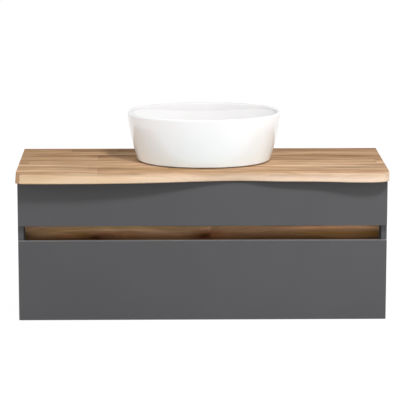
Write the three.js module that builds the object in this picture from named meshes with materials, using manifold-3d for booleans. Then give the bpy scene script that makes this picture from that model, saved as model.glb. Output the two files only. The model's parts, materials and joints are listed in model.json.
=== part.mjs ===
// A wall-hung vanity. A cabinet with two drawers hangs on two hooks, a thick oak worktop with a waney
// front edge lies on it, and an oval vessel basin stands on the worktop. The basin's waste drops into
// a bottle trap, and a well in the upper drawer leaves room for it.
// Millimetres. +X is to the right, +Y towards the wall, +Z up. Sizes along Y are counted from the
// faces of the drawer fronts; the last line moves the origin to the middle of the whole outline.
import * as THREE from "three";
import { mergeVertices } from "three/addons/utils/BufferGeometryUtils.js";
import Module from "manifold-3d";

const wasm = await Module();
wasm.setup();

// ---------------------------------------------------------------- Driving dimensions

// Fits.
const SEAM = 0.2; // between two fixed pieces that bear on each other
const FIT = 0.3; // between a round piece and the seat or thread that it sits in
const RUNNING = 0.5; // between two members that slide on each other

// Cabinet boards.
const CABINET_WIDTH = 1200;
const CABINET_DEPTH = 440;
const BOARD = 18;
const TOP_RAIL_DEPTH = 70;
const BACK_RAIL_THICKNESS = 16;
const UPPER_BACK_RAIL_HEIGHT = 68;
const LOWER_BACK_RAIL_HEIGHT = 80;
const WALL_SPACE = 14; // behind the back rails, for the wall plates

// Drawer fronts and the finger gap between them.
const FRONT_THICKNESS = 18;
const FRONT_STANDOFF = 2;
const FRONT_SIDE_REVEAL = 1.5;
const FRONT_BOTTOM_REVEAL = 2;
const FRONT_TOP_REVEAL = 3.3;
const LOWER_FRONT_HEIGHT = 263.2;
const FINGER_GAP = 48.8;
const UPPER_FRONT_HEIGHT = 146;
const RECESS_DEPTH = 68; // faces of the fronts to the oak board behind the finger gap
const RECESS_BOARD = 16;
const RECESS_OVERLAP = 17; // how far that board goes on above and below the gap

// Drawer boxes.
const BOX_SIDE = 15;
const BOX_BOTTOM = 10;
const BOX_BOTTOM_INSET = 4; // underside of the sides to underside of the bottom
const BOX_DEPTH = 372;
const LOWER_BOX_BASE = 30;
const BOX_TO_RECESS_BOARD = 5;
const BOX_TO_TOP_RAIL = 8.3;
const WELL_WALL = 12;
const WELL_WIDTH = 170;
const WELL_REACH = 70; // drain centre to the well's front wall

// Three-member runners.
const RUNNER_LENGTH = 350;
const RUNNER_HEIGHT = 45;
const RUNNER_DEPTH = 12.7;
const RUNNER_SHEET = 1.5;
const RUNNER_SETBACK = 2; // front edge of the cabinet side to the runner
const LOWER_RUNNER_RISE = 90; // underside of the lower drawer's side to the runner's middle

// Worktop.
const WORKTOP_SIDE_OVERHANG = 2.3;
const WORKTOP_THICKNESS = 30;
const EDGE_STATIONS = 60;
const EDGE_TOP_SHARE = 0.34; // how much of the wave at the lower arris shows at the upper one
const EDGE_TOP_OVERHANG = 4.5;
const EDGE_ROUNDING = 9;
const DRAIN_HOLE_RADIUS = 25;

// Basin.
const BASIN_X = 8;
const BASIN_Y = 245;
const BASIN_HEIGHT = 160.4;
const RIM_WIDTH = 508;
const RIM_DEPTH = 424;
const BASE_WIDTH = 442;
const BASE_DEPTH = 402;
const BASIN_SQUARENESS = 2.12; // 2 is an ellipse, more is squarer
const BASIN_TAPER_POWER = 1.55;
const BASIN_FOOT_RADIUS = 4;
const BASIN_WALL = 11;
const BOWL_BAND = 30; // upright part of the inner wall, from the rim down to the crease
const BOWL_CREASE = 20; // degrees that the wall turns in at the crease
const BOWL_SWEEP = 85; // how far the curved wall comes in, from the crease to the floor
const BOWL_FLOOR = 20; // height of the bowl's floor at the drain
const BOWL_FALL = 4; // fall of that floor from the foot of the wall to the drain
const BASIN_HOLE_RADIUS = 23;
const BASIN_SEGMENTS = 56;
const BEAD_THICKNESS = 1.2;
const BEAD_WIDTH = 8;
const BEAD_INSET = 5;

// Waste and plug.
const WASTE_FLANGE_RADIUS = 32;
const WASTE_FLANGE = 3;
const WASTE_RADIUS = 21;
const WASTE_BORE = 19;
const TAIL_LENGTH = 33.5; // from the end of the waste's thread down
const TAIL_RADIUS = 16;
const TAIL_BORE = 14;
const WASTE_SEAL = 1.5;
const WASHER_THICKNESS = 3;
const WASTE_NUT_RADIUS = 34;
const WASTE_NUT_HEIGHT = 12;
const THREAD_BELOW_NUT = 8;
const SPIDER_DROP = 33; // top of the flange to the middle of the stem guide
const SPIDER_HEIGHT = 8;
const HUB_RADIUS = 8;
const STEM_RADIUS = 4;
const STEM_LENGTH = 52;
const PLUG_RADIUS = 29;
const PLUG_NECK_RADIUS = 15;
const PLUG_NECK_LENGTH = 5;
const PLUG_CAP_HEIGHT = 3;
const PLUG_DOME = 2;
const PLUG_SEAL = 1.6;

// Bottle trap.
const PIPE_WALL = 2;
const TRAP_HEAD_RADIUS = 31;
const TRAP_WALL = 3;
const TRAP_HEAD_ABOVE_OUTLET = 21;
const TRAP_HEAD_BELOW_OUTLET = 21;
const TRAP_NECK_HEIGHT = 24;
const DIP_TUBE_DROP = 63; // centre of the outlet to the lower end of the dip tube
const CUP_DEPTH = 62;
const CUP_THREAD = 14;
const SPIGOT_LENGTH = 52; // drain centre to the end of the trap's outlet
const PIPE_INSERT = 14;
const NUT_WALL = 5;
const INLET_NUT_HEIGHT = 22;
const OUTLET_NUT_LENGTH = 24;
const ROSETTE_RADIUS = 36;
const ROSETTE_DEPTH = 8;
const ROUND_SEGMENTS = 32;

// Hangers and wall plates.
const HANGER_WIDTH = 20;
const HANGER_DEPTH = 24;
const HANGER_HEIGHT = 56;
const HANGER_TOP_DROP = 22; // top of the cabinet side to the top of the hanger
const HOOK_WIDTH = 8;
const HOOK_ARM = 6;
const HOOK_LIP = 3.5;
const HOOK_LIP_DROP = 15;
const HOOK_ARM_DROP = 10; // top of the hanger to the top of the hook's arm
const NOTCH_CLEARANCE = 3;
const PLATE_SHEET = 2;
const PLATE_WIDTH = 50;
const PLATE_HEIGHT = 60;
const PLATE_OFFSET = 8.5; // wall to the inner side of the plate's upstand
const PLATE_UPSTAND = 24;

// Worktop screws.
const SCREW_FROM_SIDE = 200;
const SCREW_RADIUS = 2.2;
const SCREW_LENGTH = 34;
const SCREW_HEAD_RADIUS = 4.5;
const SCREW_HEAD_HEIGHT = 2.6;
const SCREW_HOLE_CLEARANCE = 0.4;

// ---------------------------------------------------------------- Places that follow from them

const LOWER_FRONT = [FRONT_BOTTOM_REVEAL, FRONT_BOTTOM_REVEAL + LOWER_FRONT_HEIGHT];
const UPPER_FRONT = [LOWER_FRONT[1] + FINGER_GAP, LOWER_FRONT[1] + FINGER_GAP + UPPER_FRONT_HEIGHT];
const RECESS_SPAN = [LOWER_FRONT[1] - RECESS_OVERLAP, UPPER_FRONT[0] + RECESS_OVERLAP];
const CABINET_HEIGHT = UPPER_FRONT[1] + FRONT_TOP_REVEAL;

const CARCASS_FRONT = FRONT_THICKNESS + FRONT_STANDOFF;
const WALL = CARCASS_FRONT + CABINET_DEPTH;
const HALF_INSIDE = CABINET_WIDTH / 2 - BOARD;
const BETWEEN_SIDES = [-HALF_INSIDE + SEAM, HALF_INSIDE - SEAM];
const BACK_RAIL = [WALL - WALL_SPACE - BACK_RAIL_THICKNESS, WALL - WALL_SPACE];
const TOP_RAIL = [CABINET_HEIGHT - BOARD, CABINET_HEIGHT];

const HALF_BOX = HALF_INSIDE - RUNNER_DEPTH - 2 * SEAM;
const BOX_FRONT = FRONT_THICKNESS + SEAM;
const BOX_BACK = BOX_FRONT + BOX_DEPTH;
const LOWER_BOX = [LOWER_BOX_BASE, RECESS_SPAN[0] - BOX_TO_RECESS_BOARD];
const UPPER_BOX = [RECESS_SPAN[1] + BOX_TO_RECESS_BOARD, TOP_RAIL[0] - BOX_TO_TOP_RAIL];

const WORKTOP_BOTTOM = CABINET_HEIGHT + SEAM;
const WORKTOP_TOP = WORKTOP_BOTTOM + WORKTOP_THICKNESS;
const BASIN_BASE = WORKTOP_TOP + BEAD_THICKNESS + 2 * SEAM;
const DRAIN_SEAT = BASIN_BASE + BOWL_FLOOR;
const FLANGE_BOTTOM = DRAIN_SEAT + WASTE_SEAL + 2 * SEAM;
const FLANGE_TOP = FLANGE_BOTTOM + WASTE_FLANGE;
const WASHER_BOTTOM = WORKTOP_BOTTOM - SEAM - WASHER_THICKNESS;
const WASTE_NUT_BOTTOM = WASHER_BOTTOM - SEAM - WASTE_NUT_HEIGHT;
const THREAD_END = WASTE_NUT_BOTTOM - THREAD_BELOW_NUT;
const TAIL_END = THREAD_END - TAIL_LENGTH;
const DIP_FLANGE_TOP = TAIL_END - FIT;
const DIP_FLANGE_BOTTOM = DIP_FLANGE_TOP - PIPE_WALL;
const TRAP_NECK_TOP = DIP_FLANGE_BOTTOM - FIT;
const TRAP_HEAD_TOP = TRAP_NECK_TOP - TRAP_NECK_HEIGHT;
const OUTLET_HEIGHT = TRAP_HEAD_TOP - TRAP_HEAD_ABOVE_OUTLET;
const TRAP_HEAD_BOTTOM = OUTLET_HEIGHT - TRAP_HEAD_BELOW_OUTLET;

const HANGER_TOP = CABINET_HEIGHT - HANGER_TOP_DROP;
const HOOK_TOP = HANGER_TOP - HOOK_ARM_DROP;

const SIDES = [
  ["left", -1],
  ["right", 1],
];

// ---------------------------------------------------------------- Finishes

const FINISH = {
  lacquer: { color: 0x5f5e62, roughness: 0.62, metalness: 0 },
  oak: { color: 0xb18d68, roughness: 0.55, metalness: 0 },
  shadedOak: { color: 0x8e6d4b, roughness: 0.6, metalness: 0 },
  drawerBoard: { color: 0xcfcbc4, roughness: 0.7, metalness: 0 },
  ceramic: { color: 0xf7f7f6, roughness: 0.12, metalness: 0 },
  silicone: { color: 0xdadada, roughness: 0.5, metalness: 0 },
  rubber: { color: 0x2a2a2c, roughness: 0.8, metalness: 0 },
  chrome: { color: 0xdfe2e6, roughness: 0.08, metalness: 1 },
  zincSteel: { color: 0xb4b8bd, roughness: 0.35, metalness: 1 },
};

// ---------------------------------------------------------------- Shapes

// A named mesh with a material of its own.
function piece(name, geometry, finish) {
  const mesh = new THREE.Mesh(geometry, new THREE.MeshStandardMaterial(FINISH[finish]));
  mesh.name = name;
  return mesh;
}

function group(...meshes) {
  const all = new THREE.Group();
  all.add(...meshes);
  return all;
}

const middle = (span) => (span[0] + span[1]) / 2;
const length = (span) => span[1] - span[0];
const sorted = (a, b) => [Math.min(a, b), Math.max(a, b)];

// A block between two planes in each direction, its geometry in place.
function block(x, y, z) {
  const geometry = new THREE.BoxGeometry(length(x), length(y), length(z));
  return geometry.translate(middle(x), middle(y), middle(z));
}

// A flat board, placed by its mesh's position.
function board(name, x, y, z, finish) {
  const mesh = piece(name, new THREE.BoxGeometry(length(x), length(y), length(z)), finish);
  mesh.position.set(middle(x), middle(y), middle(z));
  return mesh;
}

// A turned shape about Z, from a profile of [radius, height] points that go anticlockwise.
function turned(profile, segments = ROUND_SEGMENTS) {
  const points = profile.map(([radius, height]) => new THREE.Vector2(radius, height));
  return new THREE.LatheGeometry(points, segments).rotateX(Math.PI / 2);
}

// A ring of rectangular section about Z.
function ring(inner, outer, bottom, top, segments = ROUND_SEGMENTS) {
  const corners = [
    [inner, bottom],
    [outer, bottom],
    [outer, top],
    [inner, top],
    [inner, bottom],
  ];
  return turned(corners, segments);
}

function rod(radius, bottom, top, segments = ROUND_SEGMENTS) {
  const corners = [
    [0, bottom],
    [radius, bottom],
    [radius, top],
    [0, top],
  ];
  return turned(corners, segments);
}

// A flat outline of [across, up] points pushed along X over a span. Across runs along Y.
function extrudedAlongX(outline, x) {
  const shape = new THREE.Shape(outline.map(([across, up]) => new THREE.Vector2(across, up)));
  const geometry = new THREE.ExtrudeGeometry(shape, { depth: length(x), bevelEnabled: false });
  const turn = new THREE.Matrix4().makeBasis(
    new THREE.Vector3(0, 1, 0),
    new THREE.Vector3(0, 0, 1),
    new THREE.Vector3(1, 0, 0),
  );
  return geometry.applyMatrix4(turn).translate(x[0], 0, 0);
}

// The skin between equal closed outlines, one after another, each anticlockwise as seen from the last.
// It closes on the first outline when the shape is a ring, and ends in two flat caps when it isn't.
function skinned(outlines, isRing) {
  const count = outlines[0].length;
  const positions = outlines.flat().flatMap((point) => [point.x, point.y, point.z]);
  const faces = [];
  const last = isRing ? outlines.length : outlines.length - 1;
  for (let i = 0; i < last; i++) {
    const here = i * count;
    const next = ((i + 1) % outlines.length) * count;
    for (let j = 0; j < count; j++) {
      const k = (j + 1) % count;
      faces.push(here + j, here + k, next + k, here + j, next + k, next + j);
    }
  }
  if (!isRing) {
    const end = (outlines.length - 1) * count;
    for (let j = 1; j < count - 1; j++) {
      faces.push(0, j + 1, j, end, end + j, end + j + 1);
    }
  }
  const geometry = new THREE.BufferGeometry();
  geometry.setAttribute("position", new THREE.Float32BufferAttribute(positions, 3));
  geometry.setIndex(faces);
  geometry.computeVertexNormals();
  return geometry;
}

function solidOf(geometry) {
  const bare = geometry.clone();
  bare.deleteAttribute("normal");
  bare.deleteAttribute("uv");
  const merged = mergeVertices(bare);
  const vertProperties = merged.attributes.position.array;
  const triVerts = new Uint32Array(merged.index.array);
  return new wasm.Manifold(new wasm.Mesh({ numProp: 3, vertProperties, triVerts }));
}

function geometryOf(solid) {
  const mesh = solid.getMesh();
  const geometry = new THREE.BufferGeometry();
  geometry.setAttribute("position", new THREE.BufferAttribute(mesh.vertProperties, 3));
  geometry.setIndex(new THREE.BufferAttribute(mesh.triVerts, 1));
  geometry.computeVertexNormals();
  return geometry;
}

const joined = (...shapes) => shapes.map(solidOf).reduce((whole, next) => whole.add(next));
const cut = (shape, ...tools) => tools.map(solidOf).reduce((left, tool) => left.subtract(tool), shape);

// ---------------------------------------------------------------- Cabinet

const FRONT_TOP_RAIL = [CARCASS_FRONT, CARCASS_FRONT + TOP_RAIL_DEPTH];
const BACK_TOP_RAIL = [BACK_RAIL[0] - SEAM - TOP_RAIL_DEPTH, BACK_RAIL[0] - SEAM];

// The worktop's screws go up through the middle of each top rail.
function screwsIn(row, rail) {
  const x = CABINET_WIDTH / 2 - SCREW_FROM_SIDE;
  return SIDES.map(([side, sign]) => ({ name: row + "_" + side, x: sign * x, y: middle(rail) }));
}

const frontScrews = screwsIn("front", FRONT_TOP_RAIL);
const backScrews = screwsIn("back", BACK_TOP_RAIL);

function screwHoles(bottom, top, places) {
  const radius = SCREW_RADIUS + SCREW_HOLE_CLEARANCE;
  return places.map(({ x, y }) => rod(radius, bottom, top, 16).translate(x, y, 0));
}

function topRail(name, rail, screws) {
  const blank = solidOf(block(BETWEEN_SIDES, rail, TOP_RAIL));
  const drilled = cut(blank, ...screwHoles(TOP_RAIL[0] - 1, TOP_RAIL[1] + 1, screws));
  return piece(name, geometryOf(drilled), "drawerBoard");
}

// The upper back rail has a notch at each end, where the hook reaches through to the wall plate.
function upperBackRail() {
  const z = [CABINET_HEIGHT - UPPER_BACK_RAIL_HEIGHT, CABINET_HEIGHT];
  const blank = solidOf(block(BETWEEN_SIDES, BACK_RAIL, z));
  const reach = HANGER_WIDTH + NOTCH_CLEARANCE;
  const notchZ = [HOOK_TOP - HOOK_ARM - HOOK_LIP_DROP - NOTCH_CLEARANCE, HOOK_TOP + NOTCH_CLEARANCE];
  const notches = SIDES.map(([, sign]) => {
    const x = sorted(sign * (HALF_INSIDE - reach), sign * CABINET_WIDTH / 2);
    return block(x, [BACK_RAIL[0] - 1, BACK_RAIL[1] + 1], notchZ);
  });
  return piece("back_rail_upper", geometryOf(cut(blank, ...notches)), "drawerBoard");
}

function cabinet() {
  const sides = SIDES.map(([side, sign]) => {
    const x = sorted(sign * HALF_INSIDE, sign * CABINET_WIDTH / 2);
    return board("side_panel_" + side, x, [CARCASS_FRONT, WALL], [0, CABINET_HEIGHT], "lacquer");
  });
  const floor = [0, BOARD];
  const lowerRail = [BOARD + SEAM, BOARD + SEAM + LOWER_BACK_RAIL_HEIGHT];
  const recess = [RECESS_DEPTH, RECESS_DEPTH + RECESS_BOARD];
  return group(
    ...sides,
    board("bottom_panel", BETWEEN_SIDES, [CARCASS_FRONT, BACK_RAIL[1]], floor, "lacquer"),
    board("recess_board", BETWEEN_SIDES, recess, RECESS_SPAN, "shadedOak"),
    board("back_rail_lower", BETWEEN_SIDES, BACK_RAIL, lowerRail, "drawerBoard"),
    upperBackRail(),
    topRail("top_rail_front", FRONT_TOP_RAIL, frontScrews),
    topRail("top_rail_back", BACK_TOP_RAIL, backScrews),
  );
}

// ---------------------------------------------------------------- Worktop

const WORKTOP_HALF = CABINET_WIDTH / 2 + WORKTOP_SIDE_OVERHANG;

// How far the waney edge's lower arris stands out in front of the drawer fronts: at its corners,
// counted in from the ends, and along its wave, as shares of the half width.
const LEFT_CORNER = [
  [0, 42],
  [12, 56],
];
const WAVE = [
  [-0.92, 60],
  [-0.664, 61],
  [-0.515, 58],
  [-0.279, 46],
  [-0.023, 23],
  [0.106, 13],
  [0.207, 10],
  [0.307, 17],
  [0.398, 24],
  [0.618, 31],
  [0.714, 38],
  [0.808, 47],
  [0.896, 48],
  [0.953, 42],
];
const RIGHT_CORNER = [
  [10, 29],
  [0, 14],
];
const edgeCurve = new THREE.CatmullRomCurve3(
  [
    ...LEFT_CORNER.map(([inset, overhang]) => new THREE.Vector3(inset - WORKTOP_HALF, overhang, 0)),
    ...WAVE.map(([share, overhang]) => new THREE.Vector3(share * WORKTOP_HALF, overhang, 0)),
    ...RIGHT_CORNER.map(([inset, overhang]) => new THREE.Vector3(WORKTOP_HALF - inset, overhang, 0)),
  ],
  false,
  "centripetal",
);
const edge = edgeCurve.getSpacedPoints(EDGE_STATIONS);
const EDGE_REACH = Math.max(...edge.map((point) => point.y));

// One cross-section of the worktop: square at the wall, and at the front a face that leans back from
// its lower arris and rolls over into the top.
function worktopSection({ x, y: lower }) {
  const upper = EDGE_TOP_OVERHANG + EDGE_TOP_SHARE * lower;
  const roll = EDGE_ROUNDING;
  const corners = [
    [WALL, WORKTOP_BOTTOM],
    [WALL, WORKTOP_TOP],
    [-upper + roll, WORKTOP_TOP],
    [-upper + 0.3 * roll, WORKTOP_TOP - 0.12 * roll],
    [-upper - 0.1 * (lower - upper), WORKTOP_TOP - 0.5 * roll],
    [-upper - 0.62 * (lower - upper), WORKTOP_BOTTOM + 0.42 * WORKTOP_THICKNESS],
    [-lower, WORKTOP_BOTTOM + 0.1 * WORKTOP_THICKNESS],
    [-lower + 2, WORKTOP_BOTTOM],
  ];
  return corners.map(([y, z]) => new THREE.Vector3(x, y, z));
}

function worktop() {
  const slab = solidOf(skinned(edge.map(worktopSection), false));
  const drain = rod(DRAIN_HOLE_RADIUS, WORKTOP_BOTTOM - 1, WORKTOP_TOP + 1);
  const pilotTop = TOP_RAIL[0] - SEAM + SCREW_LENGTH + 2;
  const pilots = screwHoles(WORKTOP_BOTTOM - 1, pilotTop, [...frontScrews, ...backScrews]);
  const drilled = cut(slab, drain.translate(BASIN_X, BASIN_Y, 0), ...pilots);
  return piece("worktop", geometryOf(drilled), "oak");
}

function worktopScrew({ name, x, y }) {
  const seat = TOP_RAIL[0] - SEAM;
  const profile = [
    [0, seat - SCREW_HEAD_HEIGHT],
    [SCREW_HEAD_RADIUS, seat - SCREW_HEAD_HEIGHT],
    [SCREW_HEAD_RADIUS, seat],
    [SCREW_RADIUS, seat],
    [SCREW_RADIUS, seat + SCREW_LENGTH - SCREW_RADIUS],
    [0, seat + SCREW_LENGTH],
  ];
  const screw = piece("worktop_screw_" + name, turned(profile, 16), "zincSteel");
  screw.position.set(x, y, 0);
  return screw;
}

// ---------------------------------------------------------------- Basin

// A level outline of the basin: an ellipse with fuller corners.
function oval(halfWidth, halfDepth, height, squareness = BASIN_SQUARENESS) {
  const outline = [];
  for (let i = 0; i < BASIN_SEGMENTS; i++) {
    const angle = (2 * Math.PI * i) / BASIN_SEGMENTS;
    const cos = Math.cos(angle);
    const sin = Math.sin(angle);
    const power = 2 / squareness;
    const x = halfWidth * Math.sign(cos) * Math.abs(cos) ** power;
    const y = halfDepth * Math.sign(sin) * Math.abs(sin) ** power;
    outline.push(new THREE.Vector3(x, y, height));
  }
  return outline;
}

// The outer wall swells quickly above the foot and stands nearly upright at the rim.
function outerOval(height, inset) {
  const swell = 1 - (1 - height / BASIN_HEIGHT) ** BASIN_TAPER_POWER;
  const halfWidth = (BASE_WIDTH + (RIM_WIDTH - BASE_WIDTH) * swell) / 2;
  const halfDepth = (BASE_DEPTH + (RIM_DEPTH - BASE_DEPTH) * swell) / 2;
  return oval(halfWidth - inset, halfDepth - inset, height);
}

// Angles from a start to a quarter turn, in equal steps.
function quarter(steps, start = 0) {
  return Array.from({ length: steps + 1 }, (_, i) => start + (i / steps) * (Math.PI / 2 - start));
}

function basin() {
  const foot = quarter(4).map((angle) => {
    const height = BASIN_FOOT_RADIUS * (1 - Math.cos(angle));
    return outerOval(height, BASIN_FOOT_RADIUS * (1 - Math.sin(angle)));
  });
  const lip = BASIN_WALL / 2;
  const wallHeights = [0.08, 0.16, 0.26, 0.38, 0.5, 0.62, 0.74, 0.86].map((share) => share * BASIN_HEIGHT);
  const outside = wallHeights.map((height) => outerOval(height, 0));
  const rim = [0, 30, 60, 90, 120, 150, 180].map((degrees) => {
    const angle = THREE.MathUtils.degToRad(degrees);
    return outerOval(BASIN_HEIGHT - lip + lip * Math.sin(angle), lip * (1 - Math.cos(angle)));
  });
  const creaseHeight = BASIN_HEIGHT - BOWL_BAND;
  const creaseAngle = THREE.MathUtils.degToRad(BOWL_CREASE);
  const drop = (creaseHeight - BOWL_FLOOR - BOWL_FALL) / (1 - Math.sin(creaseAngle));
  const sweep = BOWL_SWEEP / Math.cos(creaseAngle);
  const bowl = quarter(9, creaseAngle).map((angle) => {
    const inset = BASIN_WALL + sweep * (Math.cos(creaseAngle) - Math.cos(angle));
    return outerOval(creaseHeight - drop * (Math.sin(angle) - Math.sin(creaseAngle)), inset);
  });
  const seat = WASTE_FLANGE_RADIUS + 1;
  const drain = [
    oval(seat, seat, BOWL_FLOOR, 2),
    oval(BASIN_HOLE_RADIUS, BASIN_HOLE_RADIUS, BOWL_FLOOR, 2),
    oval(BASIN_HOLE_RADIUS, BASIN_HOLE_RADIUS, 0, 2),
  ];
  const skin = skinned([...foot, ...outside, ...rim, ...bowl, ...drain], true);
  const mesh = piece("basin", skin, "ceramic");
  mesh.position.set(BASIN_X, BASIN_Y, BASIN_BASE);
  return mesh;
}

// The bead of silicone that the basin stands in.
function basinBead() {
  const inset = BASIN_FOOT_RADIUS + BEAD_INSET;
  const loops = [
    [inset, 0],
    [inset, BEAD_THICKNESS],
    [inset + BEAD_WIDTH, BEAD_THICKNESS],
    [inset + BEAD_WIDTH, 0],
  ].map(([step, height]) => oval(BASE_WIDTH / 2 - step, BASE_DEPTH / 2 - step, height));
  const mesh = piece("basin_bead", skinned(loops, true), "silicone");
  mesh.position.set(BASIN_X, BASIN_Y, WORKTOP_TOP + SEAM);
  return mesh;
}

// ---------------------------------------------------------------- Waste and plug

// The waste clamps basin and worktop between its flange and its nut. A bar across its bore carries
// the hub that guides the plug's stem.
function wasteBody() {
  const profile = [
    [WASTE_BORE, THREAD_END + WASTE_BORE - TAIL_BORE],
    [TAIL_BORE, THREAD_END],
    [TAIL_BORE, TAIL_END],
    [TAIL_RADIUS, TAIL_END],
    [TAIL_RADIUS, THREAD_END],
    [WASTE_RADIUS, THREAD_END],
    [WASTE_RADIUS, FLANGE_BOTTOM],
    [WASTE_FLANGE_RADIUS, FLANGE_BOTTOM],
    [WASTE_FLANGE_RADIUS, FLANGE_TOP - 1],
    [WASTE_FLANGE_RADIUS - 2, FLANGE_TOP],
    [WASTE_BORE, FLANGE_TOP],
    [WASTE_BORE, THREAD_END + WASTE_BORE - TAIL_BORE],
  ];
  const guide = FLANGE_TOP - SPIDER_DROP;
  const z = [guide - SPIDER_HEIGHT / 2, guide + SPIDER_HEIGHT / 2];
  const reach = (WASTE_BORE + WASTE_RADIUS) / 2;
  const bar = block([-reach, reach], [-STEM_RADIUS / 2, STEM_RADIUS / 2], z);
  const body = joined(turned(profile), bar, rod(HUB_RADIUS, ...z, 24));
  const guided = cut(body, rod(STEM_RADIUS + RUNNING, z[0] - 1, z[1] + 1, 24));
  return piece("waste_body", geometryOf(guided), "chrome");
}

function plugCap() {
  const seal = FLANGE_TOP + PLUG_SEAL + 2 * FIT;
  const neck = FLANGE_TOP - PLUG_NECK_LENGTH;
  const profile = [
    [0, neck - STEM_LENGTH],
    [STEM_RADIUS, neck - STEM_LENGTH],
    [STEM_RADIUS, neck],
    [PLUG_NECK_RADIUS, neck + 1],
    [PLUG_NECK_RADIUS, seal],
    [PLUG_RADIUS, seal],
    [PLUG_RADIUS + 1, seal + PLUG_CAP_HEIGHT / 2],
    [PLUG_RADIUS, seal + PLUG_CAP_HEIGHT],
    [PLUG_RADIUS / 2, seal + PLUG_CAP_HEIGHT + 0.75 * PLUG_DOME],
    [0, seal + PLUG_CAP_HEIGHT + PLUG_DOME],
  ];
  return piece("plug_cap", turned(profile), "chrome");
}

function wasteNut() {
  const corner = WASTE_NUT_RADIUS / Math.cos(Math.PI / 6);
  const shape = new THREE.Shape();
  shape.setFromPoints(
    Array.from({ length: 6 }, (_, i) => {
      const angle = (i * Math.PI) / 3;
      return new THREE.Vector2(corner * Math.cos(angle), corner * Math.sin(angle));
    }),
  );
  shape.holes.push(new THREE.Path().absarc(0, 0, WASTE_RADIUS + FIT, 0, 2 * Math.PI, true));
  const settings = { depth: WASTE_NUT_HEIGHT, bevelEnabled: false, curveSegments: ROUND_SEGMENTS / 2 };
  const geometry = new THREE.ExtrudeGeometry(shape, settings).translate(0, 0, WASTE_NUT_BOTTOM);
  return piece("waste_nut", geometry, "zincSteel");
}

function waste() {
  const sealBottom = DRAIN_SEAT + SEAM;
  const bore = WASTE_RADIUS + FIT;
  const flangeSeal = ring(bore, WASTE_FLANGE_RADIUS - 2, sealBottom, sealBottom + WASTE_SEAL);
  const washer = ring(bore, WASTE_NUT_RADIUS, WASHER_BOTTOM, WASHER_BOTTOM + WASHER_THICKNESS);
  const plugSealBottom = FLANGE_TOP + FIT;
  const plugSealTop = plugSealBottom + PLUG_SEAL;
  const plugSeal = ring(PLUG_NECK_RADIUS + FIT, PLUG_RADIUS - 2, plugSealBottom, plugSealTop);
  return group(
    wasteBody(),
    piece("waste_flange_seal", flangeSeal, "rubber"),
    piece("waste_washer", washer, "rubber"),
    wasteNut(),
    plugCap(),
    piece("plug_seal", plugSeal, "rubber"),
  );
}

// ---------------------------------------------------------------- Bottle trap

const NECK_RADIUS = TAIL_RADIUS + NUT_WALL;
const DIP_RADIUS = TAIL_RADIUS - 1;
const SPIGOT_RADIUS = TAIL_RADIUS + FIT + 4;

// Turns a shape about Z into one about Y, at the height of the trap's outlet.
const alongOutlet = (geometry) => geometry.rotateX(-Math.PI / 2).translate(0, 0, OUTLET_HEIGHT);

function trapBody() {
  const head = rod(TRAP_HEAD_RADIUS, TRAP_HEAD_BOTTOM, TRAP_HEAD_TOP);
  const neck = rod(NECK_RADIUS, TRAP_HEAD_TOP - TRAP_WALL, TRAP_NECK_TOP);
  const spigot = alongOutlet(rod(SPIGOT_RADIUS, 0, SPIGOT_LENGTH));
  const hollow = rod(TRAP_HEAD_RADIUS - TRAP_WALL, TRAP_HEAD_BOTTOM - 1, TRAP_HEAD_TOP - TRAP_WALL);
  const inlet = rod(DIP_RADIUS + FIT, OUTLET_HEIGHT, TRAP_NECK_TOP + 1);
  const stop = SPIGOT_LENGTH - PIPE_INSERT - FIT;
  const waterway = alongOutlet(rod(TAIL_BORE, 0, SPIGOT_LENGTH));
  const socket = alongOutlet(rod(TAIL_RADIUS + FIT, stop, SPIGOT_LENGTH + 1));
  const body = cut(joined(head, neck, spigot), hollow, inlet, waterway, socket);
  return piece("trap_body", geometryOf(body), "chrome");
}

function trapCup() {
  const rim = TRAP_HEAD_BOTTOM - SEAM;
  const floor = rim - CUP_DEPTH;
  const threadRadius = TRAP_HEAD_RADIUS - TRAP_WALL - FIT;
  const inner = threadRadius - TRAP_WALL;
  const profile = [
    [0, floor],
    [TRAP_HEAD_RADIUS - 8, floor],
    [TRAP_HEAD_RADIUS - 2, floor + 3],
    [TRAP_HEAD_RADIUS, floor + 9],
    [TRAP_HEAD_RADIUS, rim],
    [threadRadius, rim],
    [threadRadius, rim + CUP_THREAD],
    [inner, rim + CUP_THREAD],
    [inner, floor + 10],
    [inner - 5, floor + 5],
    [0, floor + TRAP_WALL],
  ];
  return piece("trap_cup", turned(profile), "chrome");
}

function dipTube() {
  const profile = [
    [DIP_RADIUS - PIPE_WALL, OUTLET_HEIGHT - DIP_TUBE_DROP],
    [DIP_RADIUS, OUTLET_HEIGHT - DIP_TUBE_DROP],
    [DIP_RADIUS, DIP_FLANGE_BOTTOM],
    [NECK_RADIUS - FIT, DIP_FLANGE_BOTTOM],
    [NECK_RADIUS - FIT, DIP_FLANGE_TOP],
    [DIP_RADIUS - PIPE_WALL, DIP_FLANGE_TOP],
    [DIP_RADIUS - PIPE_WALL, OUTLET_HEIGHT - DIP_TUBE_DROP],
  ];
  return piece("trap_dip_tube", turned(profile), "chrome");
}

// A union nut about Z: wide bore over the thread below, narrow bore round the pipe above.
function unionNut(name, threadRadius, bottom, step, top) {
  const profile = [
    [threadRadius + FIT, bottom],
    [threadRadius + NUT_WALL, bottom],
    [threadRadius + NUT_WALL, step],
    [threadRadius + NUT_WALL - 2, top],
    [TAIL_RADIUS + FIT, top],
    [TAIL_RADIUS + FIT, step],
    [threadRadius + FIT, step],
    [threadRadius + FIT, bottom],
  ];
  return piece(name, turned(profile, 24), "chrome");
}

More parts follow.
